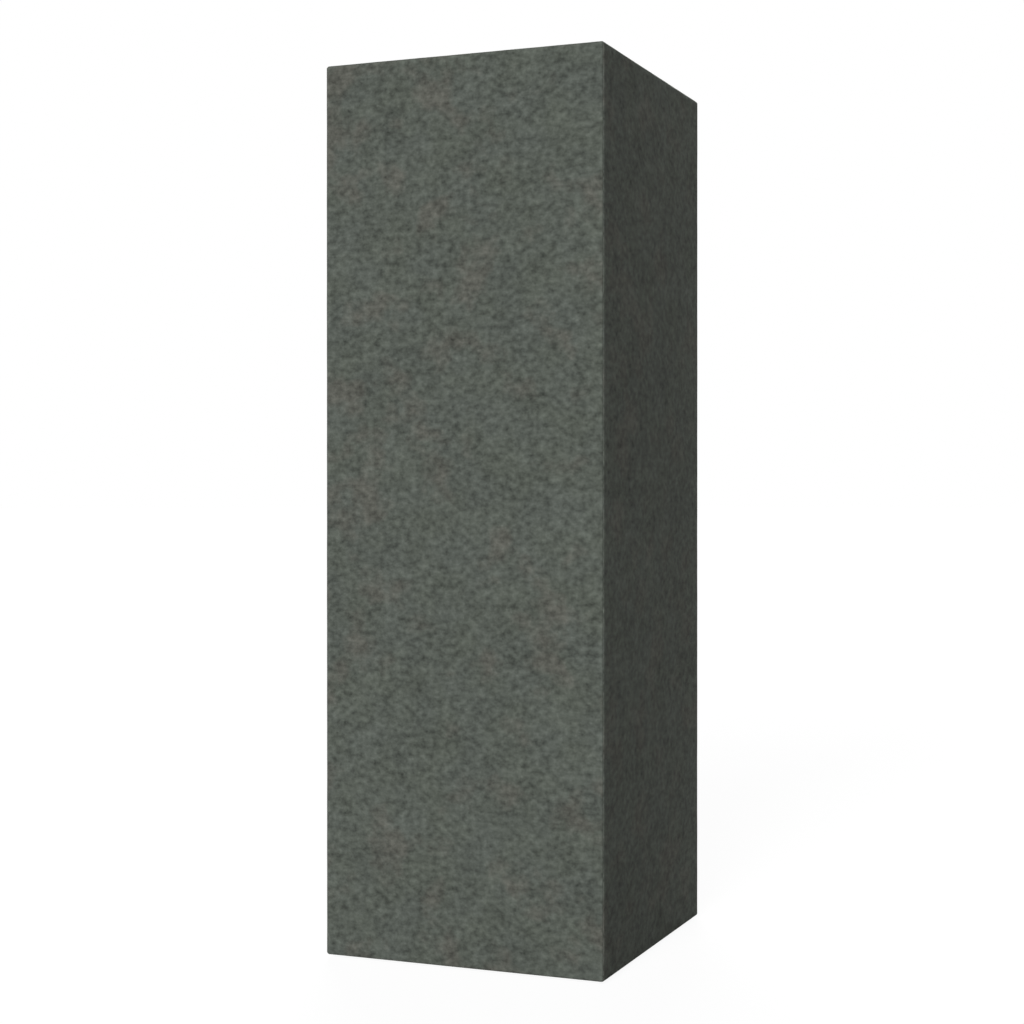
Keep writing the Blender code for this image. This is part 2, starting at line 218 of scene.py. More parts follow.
def seen_directly(tree):
    """1 for rays from the camera, off a mirror or through glass, and 0 for the light's bounces."""
    outputs = add_node(tree, "LightPath", {}).socket.node.outputs
    rays = [Wire(outputs[f"Is {kind} Ray"]) for kind in ("Camera", "Glossy", "Transmission")]
    return reckon("MAXIMUM", reckon("MAXIMUM", rays[0], rays[1]), rays[2])


world = bpy.data.worlds.new("studio")
world.use_nodes = True
bpy.context.scene.world = world
backdrop = world.node_tree.nodes["Background"]
backdrop_light = remap(seen_directly(world.node_tree), 0.0, 1.0, SKY, 1.0)
fill(backdrop, {"Color": (1, 1, 1, 1), "Strength": backdrop_light})
bpy.context.scene.view_settings.view_transform = "Standard"
print("light: sky", SKY, "and", len(SUNS), "suns")

# %% [markdown]
# ## The floor
#
# The floor is a sheet that runs off past the horizon. To the camera it is mostly a white glow,
# like paper in a light tent, and the rest is grey paint that takes the column's soft shadow. The
# grey also sets how much light the floor throws back onto the column.

# %% Floor
FLOOR_RADIUS = 60.0
FLOOR_SIDES = 96
FLOOR_GREY = 0.47
FLOOR_GLOW = 0.78  # share of the floor that glows, and the rest takes the shadow
GLOW_STRENGTH = 1.20

floor_shape = bmesh.new()
bmesh.ops.create_circle(floor_shape, cap_ends=True, segments=FLOOR_SIDES, radius=FLOOR_RADIUS)
floor_mesh = bpy.data.meshes.new("floor")
floor_shape.to_mesh(floor_mesh)
floor_shape.free()
floor_paint = bpy.data.materials.new("floor_paint")
floor_paint.use_nodes = True
paint_tree = floor_paint.node_tree
paint_tree.nodes.clear()
paint = add_node(paint_tree, "BsdfDiffuse", {"Color": (FLOOR_GREY, FLOOR_GREY, FLOOR_GREY, 1.0)})
glow = add_node(paint_tree, "Emission", {"Strength": GLOW_STRENGTH})
glow_share = seen_directly(paint_tree) * FLOOR_GLOW
blend = add_node(paint_tree, "MixShader", {0: glow_share, 1: paint, 2: glow})
fill(paint_tree.nodes.new("ShaderNodeOutputMaterial"), {"Surface": blend})
floor_mesh.materials.append(floor_paint)
floor = new_object("floor", floor_mesh)
print("floor:", FLOOR_RADIUS, "m")

# %% [markdown]
# ## Noise and groups
#
# Cloth, wood and metal all look uneven, and nearly every unevenness here starts from one node: a
# noise, which gives each place a number near 0.5 that changes smoothly to the next place. A pattern
# that several materials share is built once as a node group. It has named inputs, and each
# material sets them for its own finish.

# %% Noise and groups
def noise_at(vector, scale, detail=0.0, roughness=0.5, output="Fac"):
    sockets = {"Vector": vector, "Scale": scale, "Detail": detail, "Roughness": roughness}
    return add_node(vector.tree, "TexNoise", sockets, output)


def combine(x, y, z):
    return add_node(x.tree, "CombineXYZ", {0: x, 1: y, 2: z})


def split(vector):
    """The three numbers of a vector or a colour."""
    node = add_node(vector.tree, "SeparateXYZ", {0: vector}).socket.node
    return [Wire(socket) for socket in node.outputs]


def make_group(name, inputs, outputs, recipe):
    """A node group. The recipe takes a wire for each input and returns one for each output."""
    tree = bpy.data.node_groups.new(name, "ShaderNodeTree")
    for key, value in inputs.items():
        kind = "NodeSocketFloat" if isinstance(value, float) else "NodeSocketVector"
        made = tree.interface.new_socket(name=key, in_out="INPUT", socket_type=kind)
        if value is not None:
            made.default_value = value
    for key in outputs:
        tree.interface.new_socket(name=key, in_out="OUTPUT", socket_type="NodeSocketFloat")
    entry = tree.nodes.new("NodeGroupInput")
    leave = tree.nodes.new("NodeGroupOutput")
    results = recipe(*[Wire(entry.outputs[key]) for key in inputs])
    fill(leave, dict(zip(outputs, results)))
    print("group:", name, "with", len(tree.nodes), "nodes")
    return tree


def use_group(group, vector, **sockets):
    """Adds a group where its vector is, and returns its outputs by name."""
    node = vector.tree.nodes.new("ShaderNodeGroup")
    node.node_tree = group
    fill(node, {"Vector": vector, **sockets})
    return {socket.name: Wire(socket) for socket in node.outputs}


print("group helpers ready")

# %% [markdown]
# ## Crossed fibres
#
# Felt, fleece, dust cloth and mineral wool are all the same thing at different sizes: fibres that
# lie across each other in every direction. Real strands would need millions of faces. A noise that
# is stretched many times along one line looks like strands in that line, so four of them, turned
# against each other and bent by another noise, give a web. It is one group, and each material sets
# the length and the width of its own fibres.

# %% Group: crossed fibres
FIBRE_LAYERS = 4
FIBRE_TURN = 0.3  # of the first layer, as a share of the angle between two layers
CURL_SCALE = 210.0
STRAND_FROM, STRAND_TO = 0.50, 0.80  # noise at a strand's border and at its middle
LAYER_STEP = 7.3  # from one layer's place in the noise to the next one's


def cross_fibres(vector, length, width, curl):
    bend = noise_at(vector, CURL_SCALE, detail=1.0, output="Color") - 0.5
    bent = vector + bend * curl
    strand_size = combine(length, width, length)
    web = None
    for layer in range(FIBRE_LAYERS):
        sockets = {"Vector": bent, "Angle": math.pi * (layer + FIBRE_TURN) / FIBRE_LAYERS}
        across = add_node(vector.tree, "VectorRotate", sockets, rotation_type="Z_AXIS")
        strands = noise_at(across / strand_size + (0.0, 0.0, LAYER_STEP * layer), 1.0)
        web = strands if web is None else reckon("MAXIMUM", web, strands)
    return [remap(web, STRAND_FROM, STRAND_TO, 0.0, 1.0)]


crossed_fibres = make_group(
    "crossed fibres",
    {"Vector": None, "Length": 0.008, "Width": 0.0003, "Curl": 0.004},
    ["Fibres"],
    cross_fibres,
)

# %% [markdown]
# ## Melange
#
# The cover is melange: dark and pale wool is blended before it is felted, so the cloth is a mass of
# small light and dark tufts with no pattern to them. In the photograph the tufts are 3 to 4 mm
# across and lie a little sideways, so one cell of noise, which holds a light and a dark one, is
# twice that. Larger and slower noises clump them, and single pale and dark fibres and specks cross
# them. Over it all the colour drifts, a few fingers' breadth at a time, between olive, teal and
# brown.
#
# The group works in the flat cloth's own metres, which each panel carries as a layer, so the tufts
# keep their size over every bend.

# %% Group: melange
TUFT_LIE = (0.80, 1.0, 1.0)
ELSEWHERE = (3.7, 1.9, 8.2)  # moves a noise off another one that it would repeat
CLUMP_SCALE, PATCH_SCALE, CLOUD_SCALE, SPECK_SCALE = 0.50, 0.16, 0.055, 2.6  # times the tufts'
TUFTS, CLUMPS, PATCHES, CLOUDS, FIBRES, SPECKS = 1.21, 0.55, 0.42, 0.20, 0.20, 1.5  # weights
FIBRE_MEAN = 0.45
WARM_RANGE, COOL_RANGE = (0.535, 0.66), (0.36, 0.62)
TUFT_HEIGHT, FIBRE_HEIGHT = 0.2, 0.42


def blend_wool(vector, tuft_size, contrast, drift_size):
    lying = vector * TUFT_LIE
    apart = vector + ELSEWHERE
    scale = 1.0 / tuft_size
    tufts = noise_at(lying, scale, detail=1.0, roughness=0.42)
    clumps = noise_at(lying, scale * CLUMP_SCALE)
    patches = noise_at(vector, scale * PATCH_SCALE, detail=1.0)
    clouds = noise_at(vector, scale * CLOUD_SCALE)
    speck = noise_at(lying, scale * SPECK_SCALE) - 0.5
    pale = use_group(crossed_fibres, vector, Length=0.0040, Width=0.00018)["Fibres"]
    dark = use_group(crossed_fibres, apart, Length=0.0052, Width=0.00020)["Fibres"]
    mottling = (
        (tufts - 0.5) * TUFTS
        + (clumps - 0.5) * CLUMPS
        + (patches - 0.5) * PATCHES
        + (clouds - 0.5) * CLOUDS
        + (pale - FIBRE_MEAN) * FIBRES
        - (dark - FIBRE_MEAN) * FIBRES
        + speck * abs(speck) * SPECKS
    )
    shade = mottling * contrast + 1.0
    drift = split(noise_at(apart, 1.0 / drift_size, detail=3.0, output="Color"))
    warmth = remap(drift[0], *WARM_RANGE, 0.0, 1.0)
    coolness = remap(drift[1], *COOL_RANGE, 0.0, 1.0)
    height = tufts * TUFT_HEIGHT + pale * FIBRE_HEIGHT
    return [shade, warmth, coolness, height]


melange = make_group(
    "melange",
    {"Vector": None, "Tuft Size": 0.0064, "Contrast": 1.02, "Drift Size": 0.060},
    ["Shade", "Warmth", "Coolness", "Height"],
    blend_wool,
)

# %% [markdown]
# ## Opening a material
#
# Each finish is a Principled shader whose colour and relief come from wires, and on some its gloss
# too. A value that is the same all over goes straight into the shader's socket. The pattern follows
# the object's own place, or on cloth a layer that the mesh carries: the place on the flat cloth.

# %% Material helpers
def mix_colour(share, first, second):
    ends = [colour if isinstance(colour, Wire) else (*colour, 1.0) for colour in (first, second)]
    return add_node(share.tree, "Mix", {0: share, 6: ends[0], 7: ends[1]}, 2, data_type="RGBA")


def attribute(tree, name, output):
    return add_node(tree, "Attribute", {}, output, attribute_name=name)


def bump(height, distance):
    """A normal, from a height of about 0 to 1. Distance is the depth of the relief in metres."""
    return add_node(height.tree, "Bump", {"Height": height, "Distance": distance})


def open_material(name, layer=None, **sockets):
    """A material, its shader, and the place that its pattern follows."""
    material = bpy.data.materials.new(name)
    material.use_nodes = True
    tree = material.node_tree
    shader = tree.nodes["Principled BSDF"]
    fill(shader, sockets)
    place = attribute(tree, layer, "Vector") if layer else add_node(tree, "TexCoord", {}, "Object")
    return material, shader, place


print("material helpers ready")

# %% [markdown]
# ## The cover cloth
#
# The material turns the group's masks into three tints. Felt has no gloss, but the fibre ends that
# stand up from it catch the light at a grazing view, which is what sheen is for. The edges are
# rubbed a little paler, and the seam itself is painted darker, as painted shade in its crease.
# Along it the cloth is nipped by every stitch, so the relief has a row of dimples there: the panels
# carry the distance to their seam and a running count of its stitches.

# %% Material: melange cloth
STITCH_PITCH = 0.0030
OLIVE_TINT = (0.0969, 0.1090, 0.0920)
TEAL_TINT = (0.0969, 0.1090, 0.0957)
BROWN_TINT = (0.1063, 0.1090, 0.0938)
FUZZ_TINT = (0.97, 1.0, 0.90, 1.0)
SHEEN = 0.19
FELT_RELIEF = 0.00025
RUB = 0.06  # how much paler the cloth is where its edges are rubbed
RUB_REACH = (0.002, 0.009)
PAINTED_SEAM_SHADE = 0.72  # painted shade in the seam's crease: how dark the cloth is painted there
SEAM_SHADE_REACH = 0.0005
DIMPLE_REACH = 0.0014
DIMPLE_DEPTH = 0.6

cover_cloth, shader, place = open_material(
    "melange_cloth_felted", "flat_cloth", Roughness=0.95, Specular_IOR_Level=0.0,
    Sheen_Weight=SHEEN, Sheen_Roughness=0.5, Sheen_Tint=FUZZ_TINT,
)
felt = use_group(melange, place)
green = mix_colour(felt["Coolness"], OLIVE_TINT, TEAL_TINT)
tint = mix_colour(felt["Warmth"], green, BROWN_TINT)
from_seam = attribute(place.tree, "seam_distance", "Fac")
rubbed = remap(from_seam, *RUB_REACH, 1.0 + RUB, 1.0)
# painted shade: the cloth is painted darker in the seam's crease
shadow = remap(from_seam, 0.0, SEAM_SHADE_REACH, PAINTED_SEAM_SHADE, 1.0)
reach = from_seam / DIMPLE_REACH
near = reckon("EXPONENT", reach * reach * -1.0)
turns = attribute(place.tree, "stitch_number", "Fac") * (2 * math.pi)
nip = reckon("COSINE", turns) * near
colour = tint * (felt["Shade"] * rubbed * shadow)
relief = bump(felt["Height"] - nip * DIMPLE_DEPTH, FELT_RELIEF)
fill(shader, {"Base Color": colour, "Normal": relief})
print("material:", cover_cloth.name)

# %% [markdown]
# ## Cloth that really hangs
#
# Three pieces of cloth take their shape from what holds them: the walls and the top are pushed out
# a little by the springy wool, and the dust cloth under the base hangs between its staples. All
# three are the same problem, a flat sheet that is held at some points and loaded evenly. Blender's
# cloth solver answers it: each sheet is laid flat, held where it is fixed, and left to sag. The
# depth of the sag is read back as a grid of numbers and scaled to what a taut cloth allows. It
# becomes the crown of a wall or of the top, or the droop of the dust cloth.

# %% A flat sheet
SHEET_STEP = 0.0125


def flat_sheet(name, width, length):
    """A flat grid of faces, with the places of its columns and its rows."""
    columns, rows = (
        np.linspace(-size / 2, size / 2, round(size / SHEET_STEP) + 1) for size in (width, length)
    )
    shape = bmesh.new()
    grid = [[shape.verts.new((x, y, 0.0)) for x in columns] for y in rows]
    for lower, upper in zip(grid, grid[1:]):
        for corners in zip(lower, lower[1:], upper[1:], upper):
            shape.faces.new(corners)
    mesh = bpy.data.meshes.new(name)
    shape.to_mesh(mesh)
    shape.free()
    return new_object(name, mesh), columns, rows


print("sheets: faces of", 1000 * SHEET_STEP, "mm")

# %% A sheet that sags
SHEET_FRAMES = 20
CLOTH_MASS = 0.35
CLOTH_TENSION = 60
CLOTH_BENDING = 2


def sag(name, width, length, is_held, deepest):
    """How far a held sheet sags, as a function of the place on it, and at most by deepest."""
    sheet, columns, rows = flat_sheet(name, width, length)
    held = sheet.vertex_groups.new(name="held")
    fixed = [vert.index for vert in sheet.data.vertices if is_held(*vert.co.xy)]
    held.add(fixed, 1.0, "REPLACE")
    cloth = sheet.modifiers.new("cloth", "CLOTH").settings
    cloth.vertex_group_mass = held.name
    cloth.mass = CLOTH_MASS
    cloth.tension_stiffness = CLOTH_TENSION
    cloth.bending_stiffness = CLOTH_BENDING
    for step in range(1, SHEET_FRAMES + 1):
        bpy.context.scene.frame_set(step)
    settled = sheet.evaluated_get(bpy.context.evaluated_depsgraph_get()).data
    heights = np.array([vert.co.z for vert in settled.vertices])
    drop = -heights.reshape(len(rows), len(columns))
    bpy.context.scene.frame_set(1)
    drop = drop * deepest / drop.max()
    bpy.data.objects.remove(sheet, do_unlink=True)

    def drop_at(across, along):
        """The sag at each pair of a column and a row, by linear steps between grid points."""
        by_column = np.array([np.interp(across, columns, line) for line in drop])
        return np.array([np.interp(along, rows, line) for line in by_column.T]).T

    return drop_at


print("sag: settles in", SHEET_FRAMES, "frames")

# %% The three sheets
WALL_CROWN = 0.0010
DUST_DROOP = 0.0014
STAPLES_PER_SIDE = 7
DUST_LOW, DUST_HIGH = node_box("dust_cloth")
DUST_HALF = DUST_HIGH[0]
STAPLE_PLACES = ((np.arange(STAPLES_PER_SIDE) + 0.5) * 2 / STAPLES_PER_SIDE - 1) * DUST_HALF


def on_border(width, length):
    margin = SHEET_STEP / 2
    return lambda x, y: abs(x) > width / 2 - margin or abs(y) > length / 2 - margin


def at_staple(x, y):
    """True for the points of the dust cloth's grid that a staple pins."""
    edge = max(abs(x), abs(y)) > DUST_HALF - SHEET_STEP / 2
    along = y if abs(x) > abs(y) else x
    return edge and min(abs(STAPLE_PLACES - along)) < SHEET_STEP / 2


wall_crown = sag("wall_sheet", WIDTH, BODY_HEIGHT, on_border(WIDTH, BODY_HEIGHT), WALL_CROWN)
top_crown = sag("top_sheet", WIDTH, DEPTH, on_border(WIDTH, DEPTH), WALL_CROWN)
dust_droop = sag("dust_sheet", 2 * DUST_HALF, 2 * DUST_HALF, at_staple, DUST_DROOP)
print("sheets:", "settled by the solver")

# %% [markdown]
# ## A closed sheet from a lattice
#
# Every cloth on the column is a sheet with a real thickness. The plainest way to make one is two
# lattices of points, an outer and an inner, with faces over both and a strip of faces round the
# edge. Points that fall on each other, as at the corners of the hem, are merged afterwards.

# %% Mesh builder
MERGE_WITHIN = 0.000002


def build_mesh(name, verts, faces, material, sharp_angle=40, layers=()):
    """A mesh, smooth except at sharp angles. Layers are (name, values) for its points."""
    mesh = bpy.data.meshes.new(name)
    mesh.from_pydata(verts.tolist(), [], faces)
    for layer, values in layers:
        kind, key = ("FLOAT_VECTOR", "vector") if values.ndim == 2 else ("FLOAT", "value")
        made = mesh.attributes.new(layer, kind, "POINT")
        made.data.foreach_set(key, values.astype(np.float32).ravel())
    shape = bmesh.new()
    shape.from_mesh(mesh)
    bmesh.ops.remove_doubles(shape, verts=shape.verts, dist=MERGE_WITHIN)
    shape.to_mesh(mesh)
    shape.free()
    mesh.shade_smooth()
    mesh.set_sharp_from_angle(angle=math.radians(sharp_angle))
    mesh.materials.append(material)
    return mesh


def add_piece(mesh, node=None, name=None, spot=(0, 0, 0), turn=(0, 0, 0)):
    """A piece on the one body. The slot is its finish, and it stands for the frame's node."""
    piece = new_object(name or mesh.name, mesh)
    piece.location = spot
    piece.rotation_euler = turn
    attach(piece, "root")
    if node:
        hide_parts(node)
    return piece


print("mesh builder: merges points within", 1e6 * MERGE_WITHIN, "micrometres")

# %% Closed sheet
def closed_sheet(name, outer, inner, material, layers):
    """A sheet between two lattices, each rows x columns x 3. From outside, columns run right."""
    rows, columns = outer.shape[:2]
    back = rows * columns
    index = np.arange(back).reshape(rows, columns)
    corners = (index[:-1, :-1], index[:-1, 1:], index[1:, 1:], index[1:, :-1])
    faces = np.stack(corners, -1).reshape(-1, 4)
    rim = np.concatenate([index[0, :-1], index[:-1, -1], index[-1, :0:-1], index[:0:-1, 0]])
    after = np.roll(rim, -1)
    edge = np.stack([after, rim, rim + back, after + back], -1)
    faces = np.concatenate([faces, faces[:, ::-1] + back, edge]).tolist()
    verts = np.concatenate([outer.reshape(-1, 3), inner.reshape(-1, 3)])
    layers = [(layer, np.concatenate([values, values])) for layer, values in layers]
    return build_mesh(name, verts, faces, material, layers=layers)


def report(sheet):
    """Prints a sheet's own area, which is half of all its faces."""
    area = sum(face.area for face in sheet.data.polygons) / 2
    print(f"{sheet.name}: {len(sheet.data.polygons)} faces, {area:.3f} m2")


print("closed sheet ready")

# %% [markdown]
# ## The cover's panels
#
# The cover is five panels sewn into a box: four walls and a top. Each seam lies exactly on an edge
# of the column, and since the cloth is thick and taut, all that shows is a hairline where two
# panels roll in towards each other.
#
# A panel is a flat lattice whose border bends away over the frame. A box with rounded edges is a
# smaller box with a ball rolled round it, so each point is a point of the smaller box plus one
# radius in some direction. Over an edge the direction turns by 45 degrees, and the next panel turns
# the other 45. Where three panels meet, the direction comes from the tangents of both turns, which
# puts the seams on the exact diagonals of the corner. At the foot the cloth turns right under and
# runs in as a hem, so there the direction turns like latitude on a globe.

# %% Places and turns
BEND_STEPS = 10
QUARTER = math.pi / 4  # the turn of one panel over an edge


def unit(vectors):
    return vectors / np.linalg.norm(vectors, axis=-1, keepdims=True)


def crowded_ends(low, high, count):
    """Places from low to high, closer together towards both ends."""
    step = np.linspace(-1, 1, count + 1)
    return (high - low) / 2 * (0.5 * step + 0.5 * np.sin(math.pi / 2 * step)) + (high + low) / 2


def turn_steps():
    """Angles up to the seam, closer together towards it. The first is one step away from 0."""
    left = np.linspace(1, 0, BEND_STEPS + 1)[1:]
    return QUARTER * (1 - left**2)


def border_turns(flat):
    """Adds the turned border to both ends of a row of flat places. Returns places and angles."""
    turn = turn_steps()
    places = np.concatenate([np.full(BEND_STEPS, flat[0]), flat, np.full(BEND_STEPS, flat[-1])])
    return places, np.concatenate([-turn[::-1], np.zeros(len(flat)), turn])


print("bend: turns of", [round(math.degrees(turn), 1) for turn in turn_steps()], "degrees")

# %% Uneven sewing
UNEVEN_LENGTHS = (0.41, 0.173, 0.067)
SEED_PHASE, WAVE_PHASE = 2.4, 1.7


def stray(place, seed):
    """A slow wander between about -1 and 1 along a seam, different for each seed."""
    waves = [
        np.sin(2 * math.pi * place / length + SEED_PHASE * seed + WAVE_PHASE * number)
        for number, length in enumerate(UNEVEN_LENGTHS)
    ]
    return sum(waves) / len(waves)


def fading(distance, reach):
    return np.exp(-((distance / reach) ** 2))


def even_pitch(half):
    """The pitch nearest to the stitch pitch that puts whole stitches from corner to middle."""
    run = half + EDGE_RADIUS * QUARTER
    return run / round(run / STITCH_PITCH)


print("stitches: 1 in", round(1000 * even_pitch(WIDTH / 2 - EDGE_RADIUS), 3), "mm along the top")

# %% Rows of a wall
WALL_ROWS = 240
HEM_ROWS = 18


def wall_rows(foot, high, hem):
    """Heights, turns and distances run in of a wall's rows, from the hem's edge to the top."""
    wall = crowded_ends(foot, high, WALL_ROWS)
    run_in = np.linspace(hem - EDGE_RADIUS, 0, HEM_ROWS, endpoint=False)
    under = np.linspace(-math.pi / 2, 0, BEND_STEPS, endpoint=False)
    up = np.concatenate([np.full(HEM_ROWS + BEND_STEPS, foot), wall, np.full(BEND_STEPS, high)])
    flat = np.zeros(len(wall))
    tip = np.concatenate([np.full(HEM_ROWS, -math.pi / 2), under, flat, turn_steps()])
    return up, tip, np.concatenate([run_in, np.zeros(len(up) - HEM_ROWS)])


print("wall:", WALL_ROWS, "rows, and", HEM_ROWS, "in its hem")

# %% Panel shape
PANEL_COLUMNS = 72
SEAM_GAP = 0.00006  # between a panel's edge and the seam's own plane
SEAM_DEPTH = 0.00042
SEAM_WIDTH = 0.00036
UNEVEN = 0.00012  # how far a sewn edge strays from straight
UNEVEN_REACH = 0.012
CLOTH_APART = 0.7  # between two panels' places in the melange
TANGENT_LIMIT = -1.2  # keeps the tangent finite where the hem turns under


def panel_lattices(width, length, crown, seed, hem):
    """Outer and inner points of a panel, as (across, up, out from its face) about its middle."""
    half, high = (size / 2 - EDGE_RADIUS - SEAM_GAP for size in (width, length))
    across, turn = border_turns(crowded_ends(-half, half, PANEL_COLUMNS))
    if hem:
        up, tip, inset = wall_rows(EDGE_RADIUS - length / 2, high, hem)
    else:
        up, tip = border_turns(crowded_ends(-high, high, PANEL_COLUMNS))
        inset = np.zeros(len(up))
    a, b = np.meshgrid(turn, tip)
    tangents = [np.tan(a), np.tan(np.maximum(b, TANGENT_LIMIT)), np.ones_like(a)]
    ball = unit(np.stack(tangents, -1))
    globe = np.stack([np.sin(a) * np.cos(b), np.sin(b), np.cos(a) * np.cos(b)], -1)
    direction = np.where((b < 0)[..., None] & bool(hem), globe, ball)
    shrink = ((half - inset) / half)[:, None]
    s = across[None, :] * shrink
    v = np.broadcast_to(up[:, None], s.shape)
    n = np.broadcast_to(-EDGE_RADIUS - inset[:, None], s.shape)
    rolled = EDGE_RADIUS * (QUARTER - abs(a)) * np.cos(np.minimum(b, 0))
    from_side = rolled + half * shrink - abs(s)
    from_top = EDGE_RADIUS * (QUARTER - b) + high - v
    if not hem:
        from_top = EDGE_RADIUS * (QUARTER - abs(b)) + high - abs(v)
    seam = np.minimum(from_side, from_top)
    down_side = (from_top + inset[:, None]) / (STITCH_PITCH if hem else even_pitch(high))
    stitch = np.where(from_side < from_top, down_side, from_side / even_pitch(half))
    dip = SEAM_DEPTH * fading(seam, SEAM_WIDTH)
    by_side, by_top = fading(from_side, UNEVEN_REACH), fading(from_top, UNEVEN_REACH)
    wander = stray(v, seed + np.sign(s)) * by_side * (1 - by_top)
    wander += stray(s, seed + 0.5 + 0.25 * np.sign(v)) * by_top * (1 - by_side)
    wander *= UNEVEN
    flip = -1 if seed % 2 else 1
    swell = crown(flip * across, flip * up) * (tip == 0)[:, None] * (turn == 0)[None, :]
    base = np.stack([s, v, n + swell], -1)
    outer = base + direction * (EDGE_RADIUS - dip + wander)[..., None]
    inner = base + direction * (EDGE_RADIUS - CLOTH + wander)[..., None]
    down = v + EDGE_RADIUS * b - inset[:, None]
    run = np.stack([s + EDGE_RADIUS * a, down, np.full(s.shape, CLOTH_APART * seed)], -1)
    layers = [
        ("flat_cloth", run.reshape(-1, 3)),
        ("seam_distance", seam.ravel()),
        ("stitch_number", stitch.ravel()),
    ]
    return outer, inner, layers


print("panel:", PANEL_COLUMNS + 2 * BEND_STEPS, "columns")

# %% [markdown]
# ## Four walls and a top
#
# One function makes every panel. A wall is made in front of the column, and its object then turns
# round the column's axis to its own side. The crown of every second wall is turned end for end, so
# that no two neighbours match.

# %% Cover walls and top
WALLS = (("front", 0), ("right", 90), ("rear", 180), ("left", 270))
WALL_AXES = ((1, 0, 0), (0, 0, 1), (0, -1, 0))  # of across, up and out, in the scene
TOP_AXES = ((1, 0, 0), (0, 1, 0), (0, 0, 1))


def add_panel(side, lattices, axes, middle, degrees=0):
    """A panel of the cover, built on its axes about its middle and turned to its side."""
    outer, inner, layers = lattices
    outer, inner = (points @ np.array(axes) + middle for points in (outer, inner))
    mesh = closed_sheet(f"cover_{side}_panel", outer, inner, cover_cloth, layers)
    turn = (0, 0, math.radians(degrees))
    panel = add_piece(mesh, f"cover_{side}", turn=turn)
    report(panel)


for number, (side, degrees) in enumerate(WALLS):
    width, depth = (WIDTH, DEPTH) if degrees % 180 == 0 else (DEPTH, WIDTH)
    lattices = panel_lattices(width, BODY_HEIGHT, wall_crown, number, HEM_REACH)
    middle = (0, -depth / 2, BODY_MIDDLE)
    flat = (width, BODY_HEIGHT + HEM_REACH)
    add_panel(side, lattices, WALL_AXES, middle, degrees)

lattices = panel_lattices(WIDTH, DEPTH, top_crown, len(WALLS), hem=0)
add_panel("top", lattices, TOP_AXES, (0, 0, BODY_TOP))

# %% [markdown]
# ## Thread in the seams
#
# The panels are sewn inside out and turned, so only the thread's short crossings show, deep in the
# hairline between two panels. Each is a bar of thread that slants from one panel to the other. One
# bar is swept round a short bowed path, and then copied along the seam at the stitch pitch, so that
# every bar lies on a dimple.

# %% Material: seam thread
DARK_THREAD, PALE_THREAD = (0.045, 0.052, 0.046), (0.085, 0.094, 0.083)
PLY_SCALE = 2600.0  # plies to a metre
THREAD_RELIEF = 0.00005

seam_thread, shader, place = open_material("seam_thread", Roughness=0.55)
plies = noise_at(place, PLY_SCALE, detail=2.0)
thread_colour = mix_colour(plies, DARK_THREAD, PALE_THREAD)
fill(shader, {"Base Color": thread_colour, "Normal": bump(plies, THREAD_RELIEF)})
print("material:", seam_thread.name)

# %% One stitch
THREAD_RADIUS = 0.00013
STITCH_HALF = 0.00050  # half of a crossing, across the seam
STITCH_SLANT = 0.00045
STITCH_BOW = 0.00030
THREAD_SIDES = 6
BAR_RINGS = 5


def circle(steps):
    """The angles of a ring's points."""
    return 2 * math.pi * np.arange(steps) / steps


def ring_faces(rings, steps, is_loop=False):
    """The faces round a stack of rings of points. A loop also joins the last ring to the first."""
    index = np.arange(rings * steps).reshape(rings, steps)
    if is_loop:
        index = np.concatenate([index, index[:1]])
    after = np.roll(index, -1, axis=1)
    return np.stack([index[:-1], after[:-1], after[1:], index[1:]], -1).reshape(-1, 4).tolist()


def tube_faces(rings, steps):
    """The faces of a tube with closed ends."""
    last = range((rings - 1) * steps, rings * steps)
    return ring_faces(rings, steps) + [list(range(steps))[::-1], list(last)]


def stitch_rings():
    """The rings of one crossing, as (across, out, along)."""
    step = np.linspace(-1, 1, BAR_RINGS)
    middle = np.stack([STITCH_HALF * step, -STITCH_BOW * step**4, STITCH_SLANT * step], -1)
    ahead = unit(np.gradient(middle, axis=0))
    side = unit(np.cross(ahead, (0.0, 1.0, 0.0)))[:, None]
    other = np.cross(side[:, 0], ahead)[:, None]
    angle = circle(THREAD_SIDES)[None, :, None]
    return middle[:, None] + THREAD_RADIUS * (np.cos(angle) * side + np.sin(angle) * other)


rings = stitch_rings()
bar, bar_faces = rings.reshape(-1, 3), tube_faces(len(rings), THREAD_SIDES)
print("stitch:", len(bar_faces), "faces")

# %% Places of the stitches
BARE_STITCHES = 2  # left out at each corner
SEAM_PLACE = np.array((WIDTH, DEPTH, BODY_HEIGHT)) / 2 - EDGE_RADIUS - SEAM_GAP


def stitch_places(half, pitch):
    """Places of the stitches along a seam, from its middle, counted from its corner."""
    from_corner = half + EDGE_RADIUS * QUARTER
    return from_corner - pitch * np.arange(BARE_STITCHES, from_corner / pitch + 0.5)


seam_stitches = []  # of the seams that run across, from front to rear, and upright
for half in SEAM_PLACE[:2]:
    places = stitch_places(half, even_pitch(half))
    seam_stitches.append(np.union1d(places, -places))
upper = stitch_places(SEAM_PLACE[2], STITCH_PITCH)
lower = np.arange(upper[-1] - STITCH_PITCH, EDGE_RADIUS - SEAM_PLACE[2], -STITCH_PITCH)
seam_stitches.append(np.concatenate([upper, lower]))
print("stitches to a seam:", [len(places) for places in seam_stitches])

# %% Seam thread
THREAD_DEPTH = 0.00034  # from the cloth's face down to the middle of the thread


